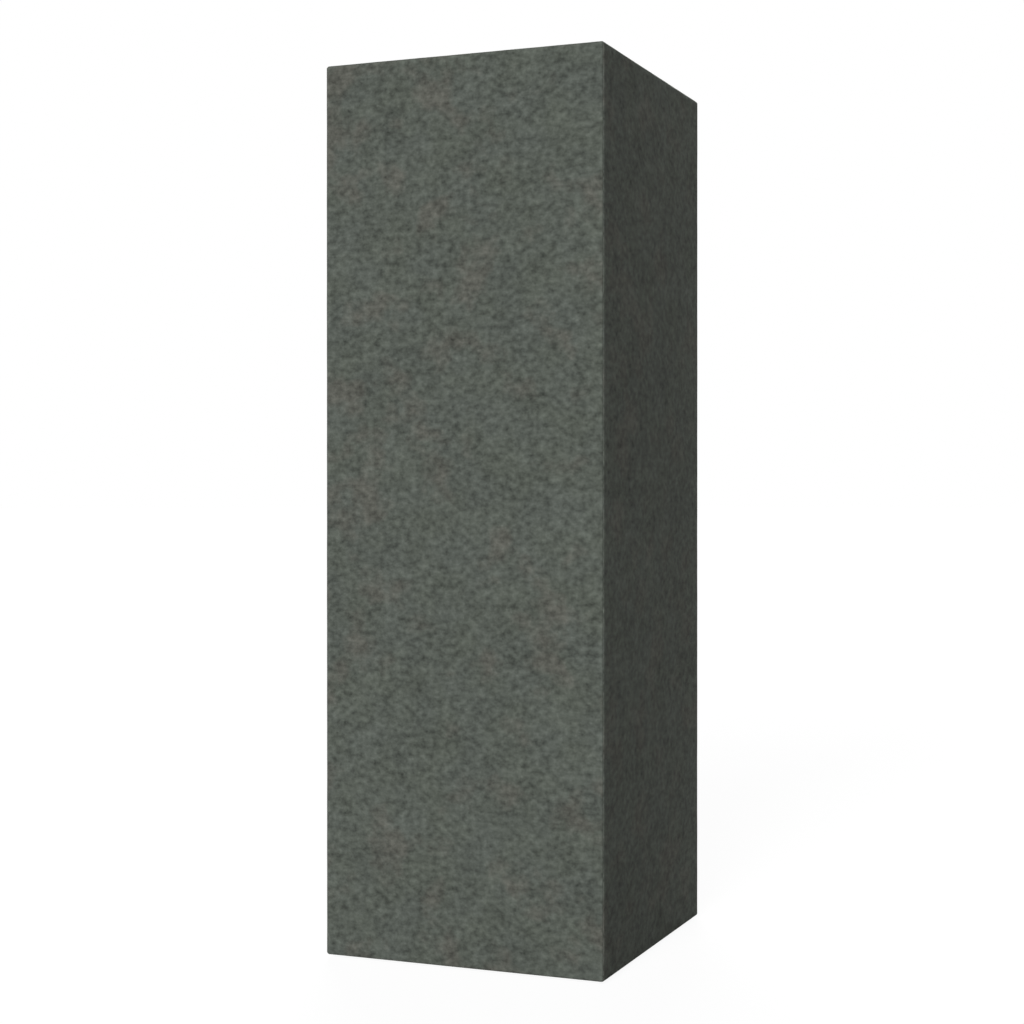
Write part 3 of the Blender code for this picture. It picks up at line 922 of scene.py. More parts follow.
def sew(name, out):
    """A row of crossings along the edge that lies out, a step on each of two axes."""
    axis = out.index(0)
    middle = np.array(out) * SEAM_PLACE + (0, 0, BODY_MIDDLE)
    out = np.array(out) / np.linalg.norm(out)
    along = np.eye(3)[axis]
    turned_bar = bar @ np.stack([np.cross(out, along), out, along])
    spots = middle + (EDGE_RADIUS - THREAD_DEPTH) * out + seam_stitches[axis][:, None] * along
    verts = (spots[:, None] + turned_bar[None]).reshape(-1, 3)
    starts = range(0, len(verts), len(bar))
    faces = [[corner + start for corner in face] for start in starts for face in bar_faces]
    mesh = build_mesh(f"thread_{name}", verts, faces, seam_thread, sharp_angle=70)
    add_piece(mesh)


for end, y in ENDS:
    for side, x in SIDES:
        sew(f"{end}_{side}", (x, y, 0))
    sew(f"top_{end}", (0, y, 1))
for side, x in SIDES:
    sew(f"top_{side}", (x, 0, 1))
print("seams: 4 upright and 4 round the top")

# %% [markdown]
# ## Non-woven cloths
#
# The dust cloth under the base and the fleece round the wool are non-woven: fibres blown onto a
# belt and pressed between rollers. The dust cloth's roller had small pins, which leave a grid of
# shiny bonded dots. The fleece is only pressed, so it has no dots and stands up more.

# %% Group: bonded dots
DOT_RIM = 0.35  # share of a dot that slopes


def bond_dots(vector, pitch, dot):
    x, y, _ = split(vector * (1.0 / pitch))
    staggered = reckon("FLOOR", y) % 2.0 * 0.5 + x
    off_x = reckon("FRACT", staggered) - 0.5
    off_y = reckon("FRACT", y) - 0.5
    distance = reckon("SQRT", off_x * off_x + off_y * off_y)
    return [remap(1.0 - distance / dot, 0.0, DOT_RIM, 0.0, 1.0)]


dot_sockets = {"Vector": None, "Pitch": 0.0022, "Dot": 0.30}
bonded_dots = make_group("bonded dots", dot_sockets, ["Dots"], bond_dots)

# %% Materials: dust cloth and fleece
DUST_TINTS = (0.012, 0.012, 0.013), (0.034, 0.034, 0.035)
FLEECE_TINTS = (0.014, 0.014, 0.015), (0.048, 0.048, 0.050)
MATT, SHINY = 0.9, 0.5
STRAND_SHARE = 0.65  # of the pattern, and blotches make up the rest
BLOTCH_SCALE = 90.0


def fibre_material(name, tints, length, width, relief, dots=0.0):
    """A non-woven cloth, from the colours of its shaded and its lit fibres."""
    material, shader, place = open_material(
        name, "flat_cloth", Roughness=MATT, Specular_IOR_Level=0.2
    )
    strands = use_group(crossed_fibres, place, Length=length, Width=width)["Fibres"]
    blotches = noise_at(place, BLOTCH_SCALE, detail=3.0)
    body = strands * STRAND_SHARE + blotches * (1 - STRAND_SHARE)
    height = body
    if dots:
        pressed = use_group(bonded_dots, place)["Dots"]
        height = body - pressed * dots
        fill(shader, {"Roughness": remap(pressed, 0.0, 1.0, MATT, SHINY)})
    fill(shader, {"Base Color": mix_colour(body, *tints), "Normal": bump(height, relief)})
    return material


dust_fabric = fibre_material(
    "black_nonwoven_bonded", DUST_TINTS, length=0.010, width=0.00012, relief=0.00008, dots=1.2
)
fleece_fabric = fibre_material(
    "black_fleece_pressed", FLEECE_TINTS, length=0.007, width=0.00016, relief=0.00025
)
print("materials:", dust_fabric.name, "and", fleece_fabric.name)

# %% [markdown]
# ## The dust cloth
#
# The square of black cloth under the base is folded over by 10 mm all round and stapled through the
# fold. Between its staples it hangs a little, in the shape that the simulation gave. The fold makes
# its border more than twice as thick as its middle.

# %% Dust cloth
FOLD = 0.010
FOLD_SLOPE = 0.0015
STAPLE_INSET = 0.006  # from the cloth's edge to a staple's middle
SINGLE_LAYER = 0.00025
EDGE_ROUNDING = 0.0003
DUST_INSETS = (  # from the edge to each line of the border
    0.0, 0.00008, EDGE_ROUNDING, 0.003, STAPLE_INSET, FOLD - FOLD_SLOPE, FOLD, FOLD + FOLD_SLOPE
)
EVEN_INSET = 0.002  # from the border to the first line of the even lattice
DUST_STEP = 0.004
DUST_APART = 5.0  # its place in the noise


def dust_lattices():
    """The lower and the upper face of the cloth. From below, its columns run right."""
    border = DUST_HALF - np.array(DUST_INSETS)
    inner_half = border[-1] - EVEN_INSET
    flat = np.linspace(-inner_half, inner_half, round(2 * inner_half / DUST_STEP) + 1)
    places = np.concatenate([-border, flat, border[::-1]])
    x, rows = np.meshgrid(places, places)
    from_edge = DUST_HALF - np.maximum(abs(x), abs(rows))
    double = np.clip((FOLD + FOLD_SLOPE - from_edge) / (2 * FOLD_SLOPE), 0, 1)
    fold_layer = DUST_HIGH[2] - DUST_LOW[2] - SINGLE_LAYER
    thickness = SINGLE_LAYER + fold_layer * double * double * (3 - 2 * double)
    rounding = np.sqrt(np.clip(from_edge / EDGE_ROUNDING, 0, 1))
    middle = (DUST_LOW[2] + DUST_HIGH[2]) / 2
    low = middle + (DUST_LOW[2] - middle) * rounding - dust_droop(places, -places)
    lower = np.stack([x, -rows, low], -1)
    upper = np.stack([x, -rows, low + thickness * rounding], -1)
    run = np.stack([x, rows, np.full(x.shape, DUST_APART)], -1)
    return lower, upper, [("flat_cloth", run.reshape(-1, 3))]


lower, upper, layers = dust_lattices()
dust_mesh = closed_sheet("dust_cloth_sheet", lower, upper, dust_fabric, layers)
dust_piece = add_piece(dust_mesh, "dust_cloth")
report(dust_piece)

# %% [markdown]
# ## Bare metal
#
# Staples and screws are zinc plated. Fresh zinc isn't one grey: it is clouded with faintly blue and
# yellow patches, and its gloss changes from spot to spot. One group gives that patchiness, and the
# black plastic of the glides uses it too, for its moulded unevenness.

# %% Group: patchy surface
SCRATCH_LIE = (0.12, 1.0, 1.0)
PATCH_RANGE, SCRATCH_RANGE = (0.30, 0.70), (0.55, 0.75)


def cloud_over(vector, patch_size, scratch_size):
    patches = noise_at(vector, 1.0 / patch_size, detail=3.0, roughness=0.6)
    scratches = noise_at(vector * SCRATCH_LIE, 1.0 / scratch_size, detail=1.0)
    return [remap(patches, *PATCH_RANGE, 0.0, 1.0), remap(scratches, *SCRATCH_RANGE, 0.0, 1.0)]


patchy = make_group(
    "patchy surface",
    {"Vector": None, "Patch Size": 0.002, "Scratch Size": 0.0002},
    ["Patches", "Scratches"],
    cloud_over,
)

# %% Materials: zinc and black plastic
ZINC_TINTS = (0.40, 0.42, 0.45), (0.52, 0.51, 0.47)
PLASTIC_TINTS = (0.024, 0.024, 0.026), (0.034, 0.034, 0.036)


def patchy_material(name, tints, gloss, relief, metallic=0.0, **sizes):
    """Gloss is the roughness of the smoothest and of the roughest patches."""
    material, shader, place = open_material(name, Metallic=metallic)
    patches, scratches = use_group(patchy, place, **sizes).values()
    roughness = remap(scratches * 0.5 + patches * 0.5, 0.0, 1.0, *gloss)
    fill(shader, {"Base Color": mix_colour(patches, *tints), "Roughness": roughness})
    fill(shader, {"Normal": bump(scratches, relief)})
    return material


zinc = patchy_material(
    "zinc_steel_plated", ZINC_TINTS, gloss=(0.26, 0.50), relief=0.00001, metallic=1.0,
    Patch_Size=0.0016, Scratch_Size=0.00012,
)
plastic = patchy_material(
    "black_plastic_moulded", PLASTIC_TINTS, gloss=(0.40, 0.62), relief=0.00003,
    Patch_Size=0.004, Scratch_Size=0.0004,
)
print("materials:", zinc.name, "and", plastic.name)

# %% [markdown]
# ## Staples
#
# A staple is flat wire with two legs. Only its crown shows, lying on the cloth, and the legs run up
# into the plywood. The wire is swept along a square path with bent corners, and the copies share
# one mesh. No two are driven in quite straight.

# %% Staples in the dust cloth
STAPLE_CROWN = 0.0104
STAPLE_LEG = 0.0060
STAPLE_WIRE = (0.0012, 0.00055)  # wide and thick
STAPLE_BEND = 0.0009
STAPLE_EASE = 0.45  # of the wire's edges, as a share of half its thickness
STAPLE_TILT = math.radians(3.0)
TILT_PHASE = 2.3  # from one staple to the next
BEND_POINTS = 5


def staple_rings():
    """The wire's section at each point of its path, as (along the crown, across it, up)."""
    wide, thick = STAPLE_WIRE[0] / 2, STAPLE_WIRE[1] / 2
    half = STAPLE_CROWN / 2 - thick
    turn = np.linspace(0, math.pi / 2, BEND_POINTS)
    bend = [half - STAPLE_BEND + STAPLE_BEND * np.sin(turn), STAPLE_BEND * (1 - np.cos(turn))]
    right = np.concatenate([np.stack(bend, -1), [(half, STAPLE_LEG)]])
    ahead = np.concatenate([np.stack([np.cos(turn), np.sin(turn)], -1), [(0.0, 1.0)]])
    path = np.concatenate([right[::-1] * (-1, 1), right])
    ahead = np.concatenate([ahead[::-1] * (1, -1), ahead])
    ease = thick * STAPLE_EASE
    section = [(-wide, ease - thick), (ease - wide, -thick), (wide - ease, -thick)]
    section = np.array([*section, (wide, ease - thick)])
    across, up = np.concatenate([section, -section]).T
    x = path[:, :1] - ahead[:, 1:] * up
    z = path[:, 1:] + ahead[:, :1] * up
    return np.stack(np.broadcast_arrays(x, across, z), -1)


rings = staple_rings()
count, sides = rings.shape[:2]
staple_mesh = build_mesh("staple", rings.reshape(-1, 3), tube_faces(count, sides), zinc, 50)
staple_low = DUST_LOW[2] - STAPLE_WIRE[1] / 2
for side, degrees in WALLS:
    for number, along in enumerate(STAPLE_PLACES):
        spot = Vector((along, STAPLE_INSET - DUST_HALF, staple_low))
        spot = Matrix.Rotation(math.radians(degrees), 3, "Z") @ spot
        tilt = STAPLE_TILT * math.sin(TILT_PHASE * number + degrees)
        name = f"staple_{side}_{number + 1}"
        turn = (0, 0, math.radians(degrees) + tilt)
        add_piece(staple_mesh, name=name, spot=spot, turn=turn)
print("staples:", len(WALLS) * STAPLES_PER_SIDE)

# %% [markdown]
# ## Turned pieces
#
# Screws, dowels and glides are all round. Each is a stack of rings: a ring is a radius and a height
# for every step round the axis, so a ring need not be a circle. That one idea gives a hexagonal
# socket, a screw's thread, whose radius climbs as it goes round, and the flutes of a dowel.

# %% Turned builder
def turned(name, rings, material, is_loop=False):
    """A mesh from rings of (radius, height), from its foot up its outside."""
    count, steps = rings.shape[:2]
    angle = circle(steps)
    radius, height = rings[..., 0], rings[..., 1]
    verts = np.stack([radius * np.cos(angle), radius * np.sin(angle), height], -1).reshape(-1, 3)
    return build_mesh(name, verts, ring_faces(count, steps, is_loop), material, sharp_angle=35)


def stack_rings(profile, steps):
    """Rings from pairs of a radius, or a radius for each step, and a height or heights."""
    rings = [np.broadcast_arrays(radius, height, np.zeros(steps))[:2] for radius, height in profile]
    return np.moveaxis(np.array(rings), 1, -1)


def middle_of(low, high, height):
    return (low[0] + high[0]) / 2, (low[1] + high[1]) / 2, height


print("turned builder ready")

# %% [markdown]
# ## Screws
#
# A wood screw has a wide, shallow thread that runs out at the point. Its head is countersunk, with
# a hexagonal socket. The frame has the length and the head, and the thread stays inside the frame's
# plain shank, so that it clears its hole. Those of the base and the glides point up, and those of
# the top panel down.

# %% Screw shape
SCREW_STEPS = 24
RINGS_PER_TURN = 8
CORE, NECK = 0.68, 0.86  # as shares of the shank's radius
HEAD_RIM = 0.0004
POINT_LENGTH = 1.5  # in shank diameters
RIDGE_HALF = 0.28  # half of a thread's foot, as a share of the pitch
SOCKET_DEPTH = 0.225  # in head diameters
MOUTH_DEPTH = 0.06  # in head diameters
MOUTH_WIDTH, FOOT_WIDTH = 1.06, 0.98  # of the socket, as shares of its own width
SOCKET_CONE = 0.3  # depth of the cone at its foot, as a share of its width


def hexagon(corner_radius):
    angle = circle(SCREW_STEPS) % (math.pi / 3) - math.pi / 6
    return corner_radius * math.cos(math.pi / 6) / np.cos(angle)


def screw_rings(length, head, shank, socket, pitch, threaded):
    """The rings of a screw, with its point down at -length and the face of its head at 0."""
    crest, radius = shank / 2, head / 2
    core, neck = CORE * crest, NECK * crest
    angle = np.arange(SCREW_STEPS) / SCREW_STEPS
    profile = [(0.0, -length)]
    for number in range(1, round(threaded / pitch * RINGS_PER_TURN) + 1):
        height = -length + number * pitch / RINGS_PER_TURN
        taper = min(1.0, (height + length) / (POINT_LENGTH * shank))
        off_crest = abs((height / pitch - angle) % 1.0 - 0.5)
        run_out = min(1.0, (threaded - height - length) / pitch)
        ridge = np.clip(1 - off_crest / RIDGE_HALF, 0, 1) * run_out
        profile.append(((core + (crest - core) * ridge) * taper, height))
    profile += [
        (neck, -length + threaded + pitch / 2),
        (neck, neck - radius - HEAD_RIM),
        (radius, -HEAD_RIM),
        (radius, -HEAD_RIM / 3),
        (radius - HEAD_RIM / 3, 0.0),
        (hexagon(socket * MOUTH_WIDTH), 0.0),
        (hexagon(socket), -MOUTH_DEPTH * head),
        (hexagon(socket * FOOT_WIDTH), -SOCKET_DEPTH * head),
        (0.0, -SOCKET_DEPTH * head - socket * SOCKET_CONE),
    ]
    return stack_rings(profile, SCREW_STEPS)


print("screw:", RINGS_PER_TURN, "rings to a turn of its thread")

# %% Screws
def add_screws(prefix, points_up, shank, socket, pitch, threaded_share):
    """One screw for each corner's node. All of a kind share a mesh."""
    low, high = node_box(f"{prefix}_{CORNERS[0]}")
    length, head = high[2] - low[2], high[0] - low[0]
    rings = screw_rings(length, head, shank, socket, pitch, threaded_share * length)
    mesh = turned(f"{prefix}_pattern", rings, zinc)
    for corner in CORNERS:
        node = f"{prefix}_{corner}"
        low, high = node_box(node)
        spot = middle_of(low, high, low[2] if points_up else high[2])
        turn = (math.pi if points_up else 0, 0, 0)
        add_piece(mesh, node, f"{node}_threaded", spot, turn)
    print(f"{prefix}: 4 screws, {1000 * length:.0f} mm, {len(mesh.polygons)} faces each")


add_screws("base_screw", True, shank=0.0045, socket=0.0022, pitch=0.0022, threaded_share=0.6)
add_screws("top_screw", False, shank=0.0045, socket=0.0022, pitch=0.0022, threaded_share=0.6)
add_screws("glide_screw", True, shank=0.0035, socket=0.0017, pitch=0.0014, threaded_share=0.75)

# %% [markdown]
# ## Glides
#
# The column stands on four discs of hard black plastic. Underneath, a moulded groove runs round the
# countersunk hole of the screw. The outer edge is rounded, so that it doesn't catch when the column
# is pushed.

# %% Glides
GLIDE_STEPS = 72
GLIDE_ROUNDING = 0.0010
RIM_POINTS = 7
GLIDE_EASE = 0.0003  # of its sharp edges
MOUTH_EASE = 0.0012
GROOVE_RADIUS = 0.0095
GROOVE_WIDTH = 0.0008
GROOVE_DEPTH = 0.0003
HOLE_CLEARANCE = 0.0003
GLIDE_BORE = 0.00175 + HOLE_CLEARANCE
MOUTH_RISE = 0.0004  # from the screw's head to the foot of the countersunk cone


def glide_profile(radius, thickness, mouth, mouth_height):
    """The loop of (radius, height) round a glide's section, from the mouth of its hole outwards."""
    groove = [
        (GROOVE_RADIUS + share * GROOVE_WIDTH, height)
        for share, height in ((-1, 0.0), (-0.5, GROOVE_DEPTH), (0.5, GROOVE_DEPTH), (1, 0.0))
    ]
    rim = [
        (radius - GLIDE_ROUNDING * (1 - math.sin(turn)), GLIDE_ROUNDING * (1 - math.cos(turn)))
        for turn in np.linspace(0, math.pi / 2, RIM_POINTS)
    ]
    top = [(radius, thickness - GLIDE_EASE), (radius - GLIDE_EASE, thickness)]
    bore = [(GLIDE_BORE, thickness), (GLIDE_BORE, mouth_height + mouth - GLIDE_BORE)]
    foot = [(mouth, GLIDE_EASE), (mouth + MOUTH_EASE, 0.0)]
    return [*foot, *groove, *rim, *top, *bore, (mouth, mouth_height)]


for corner in CORNERS:
    low, high = node_box(f"glide_{corner}")
    screw_low, screw_high = node_box(f"glide_screw_{corner}")
    mouth = (screw_high[0] - screw_low[0]) / 2 + HOLE_CLEARANCE
    size = (high - low) / (2, 2, 1)
    profile = glide_profile(size[0], size[2], mouth, screw_low[2] + MOUTH_RISE)
    rings = stack_rings(profile, GLIDE_STEPS)
    mesh = turned(f"glide_{corner}_moulded", rings, plastic, is_loop=True)
    spot = middle_of(low, high, low[2])
    add_piece(mesh, f"glide_{corner}", spot=spot)
print("glides:", len(mesh.polygons), "faces each")

# %% [markdown]
# ## Wood
#
# All the timber shares one group. Growth rings are shells round the pith of the tree, so the
# distance from a line beside the piece, counted in rings, tells early wood from late wood. A noise
# drawn out along the grain adds the fibres. Each material turns the grain along its own piece and
# chooses ring width and colours.

# %% Group: wood grain
WOBBLE_SCALE = 20.0
WOBBLE = 0.012  # how far a growth ring strays
RINGS_ALONG, FIBRES_ALONG = (1.0, 1.0, 0.12), (1.0, 1.0, 0.02)  # draw out a noise along the grain
LATE_EDGE = 3.0  # how sharply a ring darkens towards its end


def grow_rings(vector, pith, ring_width, fibre_width):
    from_pith = vector - pith
    wobble = noise_at(from_pith * RINGS_ALONG, WOBBLE_SCALE, detail=2.0)
    x, y, _ = split(from_pith)
    radius = reckon("SQRT", x * x + y * y) + wobble * WOBBLE
    late = reckon("POWER", reckon("FRACT", radius / ring_width), LATE_EDGE)
    return [late, noise_at(vector * FIBRES_ALONG, 1.0 / fibre_width, detail=2.0, roughness=0.6)]


wood_grain = make_group(
    "wood grain",
    {"Vector": None, "Pith": (0.06, 0.03, 0.0), "Ring Width": 0.0026, "Fibre Width": 0.0005},
    ["Late Wood", "Fibres"],
    grow_rings,
)

# %% Materials: spruce and beech
GRAIN_ALONG = {"x": (0.0, math.pi / 2, 0.0), "y": (math.pi / 2, 0.0, 0.0), "z": (0.0, 0.0, 0.0)}
SPRUCE_TINTS = (0.70, 0.53, 0.33), (0.50, 0.30, 0.14)  # of early and of late wood
SPRUCE_GRAIN = {"Pith": (0.31, 0.27, 0.0), "Ring_Width": 0.0027, "Fibre_Width": 0.0005}
FIBRE_RANGE, FIBRE_SHADES = (0.3, 0.7), (0.86, 1.08)
WOOD_RELIEF = 0.00012


def grain_in(place, axis, **sockets):
    """Late wood, fibres, and the fibres' shade, for wood whose grain runs along an axis."""
    turned_place = add_node(place.tree, "Mapping", {0: place, "Rotation": GRAIN_ALONG[axis]})
    late, fibres = use_group(wood_grain, turned_place, **sockets).values()
    return late, fibres, remap(fibres, *FIBRE_RANGE, *FIBRE_SHADES)


def wood_material(name, axis, tints, roughness, **grain):
    material, shader, place = open_material(name, Roughness=roughness, Specular_IOR_Level=0.3)
    late, fibres, shade = grain_in(place, axis, **grain)
    relief = bump(late * 0.5 + fibres * 0.5, WOOD_RELIEF)
    fill(shader, {"Base Color": mix_colour(late, *tints) * shade, "Normal": relief})
    return material


def dress_node(name, material):
    """Gives a node of the frame a better material. Its shape stays as it is."""
    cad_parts[name].material_slots[0].material = material


spruce = {
    axis: wood_material(f"spruce_along_{axis}", axis, SPRUCE_TINTS, 0.6, **SPRUCE_GRAIN)
    for axis in "xyz"
}
for corner in CORNERS:
    dress_node(f"post_{corner}", spruce["z"])
for side, axis in (("front", "x"), ("rear", "x"), ("left", "y"), ("right", "y")):
    dress_node(f"rail_{side}", spruce[axis])
print("spruce: 4 posts and 4 rails")

# %% [markdown]
# ## Plywood
#
# A plywood panel shows two faces of one wood: the broad grain of the outer sheet, and at its edge
# the stack of thin sheets, laid crosswise, with every second one seen end on. The direction of the
# surface tells them apart, so one material serves both.

# %% Material: plywood
PLY_COUNT = 9
PLY_FACE_TINTS = (0.62, 0.46, 0.29), (0.50, 0.34, 0.19)
PLY_EDGE_TINTS = (0.60, 0.45, 0.28), (0.36, 0.23, 0.12)
GLUE_TINT = (0.16, 0.09, 0.05)
GLUE_RANGE = (0.44, 0.5)  # from a sheet's middle, in sheets
PLY_PITH = (-0.035, 0.06)
BROAD_FACE = 0.8  # a surface that turns up or down by more is a broad face
PLY_RELIEF = 0.0001


def plywood_material(name, low, thickness):
    material, shader, place = open_material(name, Roughness=0.65, Specular_IOR_Level=0.3)
    pith = (low + PLY_PITH[0], PLY_PITH[1], 0.0)
    late, fibres, shade = grain_in(place, "x", Pith=pith, Ring_Width=0.006, Fibre_Width=0.0007)
    ply = (split(place)[2] - low) / (thickness / PLY_COUNT)
    is_crossed = reckon("FLOOR", ply) % 2.0
    glue = remap(abs(reckon("FRACT", ply) - 0.5), *GLUE_RANGE, 0.0, 1.0)
    stack = mix_colour(glue, mix_colour(is_crossed, *PLY_EDGE_TINTS), GLUE_TINT)
    upward = split(add_node(place.tree, "TexCoord", {}, "Normal"))[2]
    is_face = reckon("GREATER_THAN", abs(upward), BROAD_FACE)
    colour = mix_colour(is_face, stack, mix_colour(late, *PLY_FACE_TINTS)) * shade
    fill(shader, {"Base Color": colour, "Normal": bump(fibres, PLY_RELIEF)})
    return material


for name in ("base_panel", "top_panel"):
    low, high = node_box(name)
    dress_node(name, plywood_material(f"plywood_{name}", low[2], high[2] - low[2]))
print("plywood: 2 panels of", PLY_COUNT, "sheets")

# %% [markdown]
# ## Dowels
#
# A dowel joins each rail end to its post. It is turned beech with chamfered ends and shallow
# flutes, which let the glue and the air out of the hole. The flutes are a wave in the radius of
# each ring.

# %% Dowels
DOWEL_STEPS = 96
FLUTES = 24
FLUTE_DEPTH = 0.00025
DOWEL_CHAMFER = 0.0010
BEECH_TINTS = (0.62, 0.43, 0.27), (0.52, 0.34, 0.20)
BEECH_GRAIN = {"Pith": (0.05, 0.02, 0.0), "Ring_Width": 0.0018, "Fibre_Width": 0.0004}

beech = wood_material("beech_turned", "z", BEECH_TINTS, 0.55, **BEECH_GRAIN)


def dowel_rings(radius, half):
    fluted = radius - FLUTE_DEPTH * (0.5 + 0.5 * np.cos(FLUTES * circle(DOWEL_STEPS)))
    end = [(0.0, half), (radius - DOWEL_CHAMFER, half), (fluted, half - DOWEL_CHAMFER)]
    return stack_rings([(size, -height) for size, height in end] + end[::-1], DOWEL_STEPS)


dowel_nodes = sorted(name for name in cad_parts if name.startswith("dowel_"))
for node in dowel_nodes:
    low, high = node_box(node)
    size = high - low
    mesh = turned(f"{node}_fluted", dowel_rings(size.min() / 2, size.max() / 2), beech)
    lies_sideways = np.argmax(size) == 0
    turn = (0, math.pi / 2, 0) if lies_sideways else (math.pi / 2, 0, 0)
    add_piece(mesh, node, spot=(low + high) / 2, turn=turn)
print("dowels:", len(dowel_nodes))

# %% [markdown]
# ## Mineral wool
#
# The slabs are pressed rock fibre, yellow-brown, with a faintly layered, crumbling surface where
# they were sawn and notched round the timber. A slab is built from small cells: wherever a filled
# cell meets an empty one there is a face. The notches are simply cells left empty, and every face
# is small enough to be roughened afterwards.

# %% Material: mineral wool
WOOL_TINTS = (0.24, 0.19, 0.10), (0.55, 0.48, 0.30)
SHOT_TINT = (0.07, 0.055, 0.04)  # of the specks of unspun rock
BED_SCALE = 60.0
BED_LIE = (1.0, 7.0, 1.0)
BEDS_FACE = 0.7  # a surface that turns along the beds' depth by more is a broad face
SHOT_SCALE = 900.0
SHOT_RANGE, SHOT_STRENGTH = (0.70, 0.76), 0.7
WOOL_RELIEF = 0.0008

wool, shader, place = open_material(
    "mineral_wool_pressed", Roughness=1.0, Specular_IOR_Level=0.05
)
x, y, z = split(place)
along_bed = split(add_node(place.tree, "TexCoord", {}, "Normal"))[1]
is_face = reckon("GREATER_THAN", abs(along_bed), BEDS_FACE)
planes = {0: is_face, 4: combine(z, y * 4.0, x), 5: combine(x, z, y)}
facing = add_node(place.tree, "Mix", planes, 1, data_type="VECTOR")
strands = use_group(crossed_fibres, facing, Length=0.012, Width=0.00025)["Fibres"]
beds = noise_at(place * BED_LIE, BED_SCALE, detail=4.0, roughness=0.6)
mixed = strands * 0.5 + beds * 0.5
shot = remap(noise_at(place, SHOT_SCALE), *SHOT_RANGE, 0.0, SHOT_STRENGTH)
colour = mix_colour(shot, mix_colour(mixed, *WOOL_TINTS), SHOT_TINT)
fill(shader, {"Base Color": colour, "Normal": bump(mixed, WOOL_RELIEF)})
print("material:", wool.name)

# %% Wool cells
WOOL_STEP = 0.009
WOOL_GAP = 0.0003


def cuts_between(low, high, planes):
    """Cell borders from low to high, with a border on each plane between them."""
    inner = sorted(plane for plane in set(planes) if low + WOOL_GAP < plane < high - WOOL_GAP)
    marks = [low, *inner, high]
    spans = [
        np.linspace(start, end, max(1, round((end - start) / WOOL_STEP)) + 1)[:-1]
        for start, end in zip(marks, marks[1:])
    ]
    return np.append(np.concatenate(spans), high)


def cell_faces(filled):
    """Corner numbers of the faces between filled and empty cells, with their fronts outwards."""
    shape = np.array(filled.shape) + 1
    number = np.arange(shape.prod()).reshape(shape)
    padded = np.pad(filled, 1)
    faces = []
    for axis in range(3):
        for ahead in (1, -1):
            neighbour = np.roll(padded, -ahead, axis)[1:-1, 1:-1, 1:-1]
            cell = np.argwhere(filled & ~neighbour)
            cell[:, axis] += ahead > 0
            first, second = np.eye(3, dtype=int)[[(axis + 1) % 3, (axis + 2) % 3]]
            loop = [cell, cell + first, cell + first + second, cell + second][::ahead]
            faces.append(np.stack([number[tuple(corner.T)] for corner in loop], -1))
    return np.concatenate(faces)


print("cells: about", 1000 * WOOL_STEP, "mm")

# %% Wool slabs
WOOL_ROUGH = 0.0016
WOOL_GRAIN = 70.0  # lumps to a metre
LUMP_FALL, LUMP_STEP, LUMP_SIZES = 0.7, 2.1, 3  # from each size of lump to the next, and how many
SLAB_APART = (3.1, 1.7, 0.9)  # between two slabs' places in the lumps


def roughen(mesh, seed):
    """Sinks each point along its normal, in lumps."""
    normals = np.array([normal.vector for normal in mesh.vertex_normals])
    points = np.array([vert.co for vert in mesh.vertices])
    shift = Vector([seed * step for step in SLAB_APART])
    lumps = [
        noise.fractal(Vector(point) * WOOL_GRAIN + shift, LUMP_FALL, LUMP_STEP, LUMP_SIZES)
        for point in points
    ]
    sunk = WOOL_ROUGH * np.clip(0.5 + 0.5 * np.array(lumps), 0.05, 1.0)
    points -= normals * sunk[:, None]
    mesh.vertices.foreach_set("co", points.astype(np.float32).ravel())
    mesh.update()


timber = [node_box(name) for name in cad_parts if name.startswith(("post_", "rail_"))]
timber = [(low - WOOL_GAP, high + WOOL_GAP) for low, high in timber]
planes = np.round(np.concatenate(timber).reshape(-1, 3).T, 7)
for number in range(1, 5):
    node = f"absorber_slab_{number}"
    borders = [cuts_between(*cut) for cut in zip(*node_box(node), planes)]
    middles = np.meshgrid(*[(border[1:] + border[:-1]) / 2 for border in borders], indexing="ij")
    filled = np.ones(middles[0].shape, bool)
    for low, high in timber:
        inside = [(low[axis] < middles[axis]) & (middles[axis] < high[axis]) for axis in range(3)]
        filled &= ~np.logical_and.reduce(inside)
    used, faces = np.unique(cell_faces(filled), return_inverse=True)
    corners = np.stack(np.meshgrid(*borders, indexing="ij"), -1).reshape(-1, 3)[used]
    faces = faces.reshape(-1, 4).tolist()
    mesh = build_mesh(f"{node}_wool", corners, faces, wool, sharp_angle=60)
    roughen(mesh, number)
    slab = add_piece(mesh, node)
    print(f"{slab.name}: {len(mesh.polygons)} faces")

# %% [markdown]
# ## The fleece
#
# A thin fleece is wrapped round the wool before the cover goes on, to keep loose fibres in. It goes
# round once and laps over its own start behind the column. The wrap is a lattice whose columns
# follow the path round the frame, and over the lap the path steps out by one thickness.

# %% Path of the fleece
FLEECE_STEP = 0.010
FLEECE_ROOM = 0.0006  # the node's thickness
FLEECE_RADIUS = 0.0012  # inside its bend over a post
FLEECE_LAP = 0.025
LAP_POINTS = 24
CORNER_POINTS = 6


def arrow(degrees):
    return np.array((math.cos(math.radians(degrees)), math.sin(math.radians(degrees))))


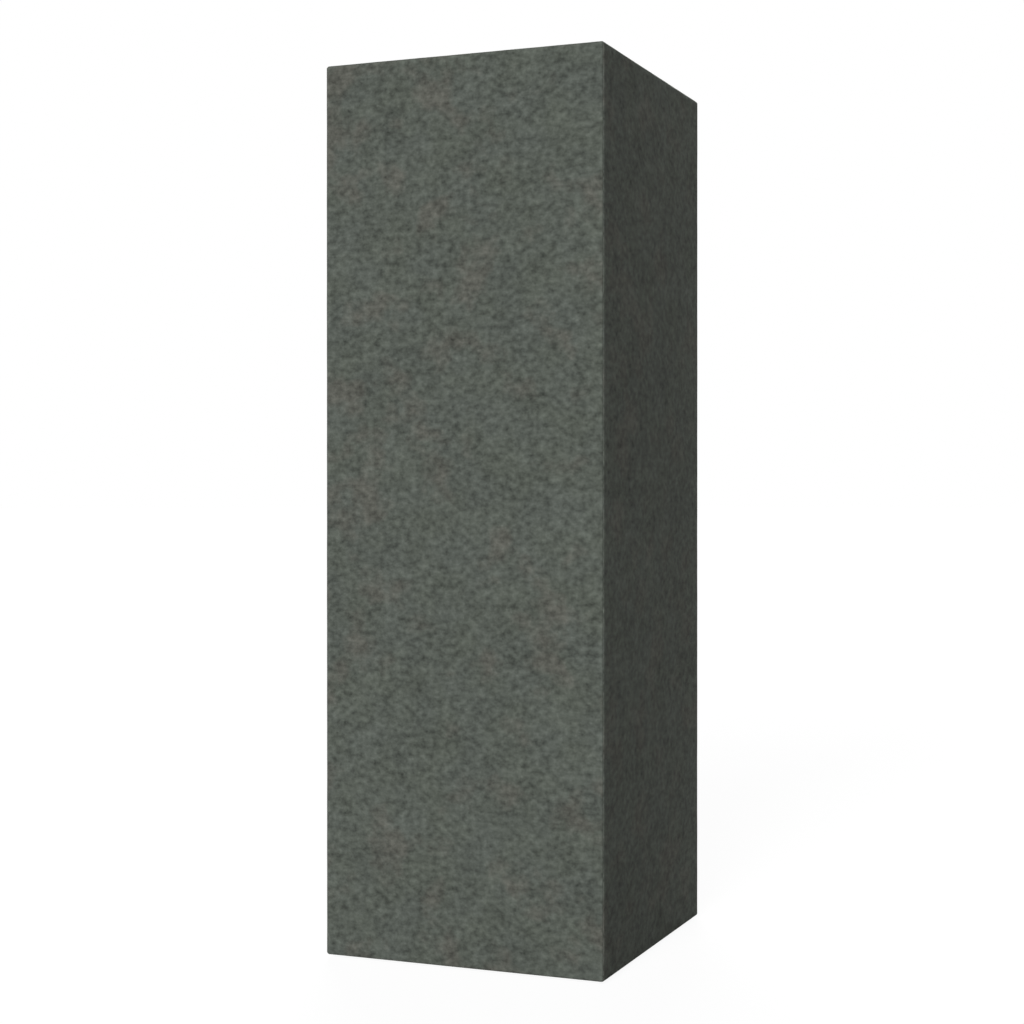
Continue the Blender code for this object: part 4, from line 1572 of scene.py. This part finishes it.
def wrap_path(half_x, half_y):
    """Points and directions outwards, once round a rounded rectangle from the rear's middle."""
    path = []
    start = np.array((0.0, half_y))
    for x, y, facing in ((-1, 1, 90), (-1, -1, 180), (1, -1, 270), (1, 1, 360)):
        middle = np.array((x * (half_x - FLEECE_RADIUS), y * (half_y - FLEECE_RADIUS)))
        end = middle + FLEECE_RADIUS * arrow(facing)
        steps = max(2, round(np.linalg.norm(end - start) / FLEECE_STEP))
        for share in np.linspace(0, 1, steps, endpoint=False):
            path.append((start + share * (end - start), arrow(facing)))
        for turn in np.linspace(facing, facing + 90, CORNER_POINTS, endpoint=False):
            path.append((middle + FLEECE_RADIUS * arrow(turn), arrow(turn)))
        start = middle + FLEECE_RADIUS * arrow(facing + 90)
    end = np.array((-FLEECE_LAP, half_y))
    for share in np.linspace(0, 1, LAP_POINTS):
        path.append((start + share * (end - start), arrow(90)))
    return np.moveaxis(np.array(path), 1, 0)


fleece_low, fleece_high = node_box("fleece_liner")
fleece_half = (fleece_high - fleece_low) / 2 - FLEECE_ROOM
path, outward = wrap_path(*fleece_half[:2])
run = np.append(0.0, np.cumsum(np.linalg.norm(np.diff(path, axis=0), axis=1)))
print("fleece:", round(run[-1], 3), "m round")

# %% Fleece wrap
FLEECE_THICK = 0.00032
LAP_RISE = 0.008
LAP_GAP = 0.00008
FLEECE_APART = 9.0  # its place in the noise

lap_start = run[-1] - FLEECE_LAP - LAP_RISE
rise = np.clip((run - lap_start) / LAP_RISE, 0, 1) * (FLEECE_THICK + LAP_GAP)
fleece_height = fleece_high[2] - fleece_low[2]
heights = np.linspace(fleece_low[2], fleece_high[2], round(fleece_height / FLEECE_STEP) + 1)


def fleece_lattice(offset):
    x, y = (path + outward * (offset + rise)[:, None]).T
    return np.stack(np.broadcast_arrays(x, y, heights[:, None]), -1)


flat_run = np.stack(np.broadcast_arrays(run, heights[:, None], FLEECE_APART), -1).reshape(-1, 3)
outer, inner = fleece_lattice(FLEECE_THICK), fleece_lattice(0.0)
mesh = closed_sheet("fleece_wrap", outer, inner, fleece_fabric, [("flat_cloth", flat_run)])
fleece = add_piece(mesh, "fleece_liner")
report(fleece)
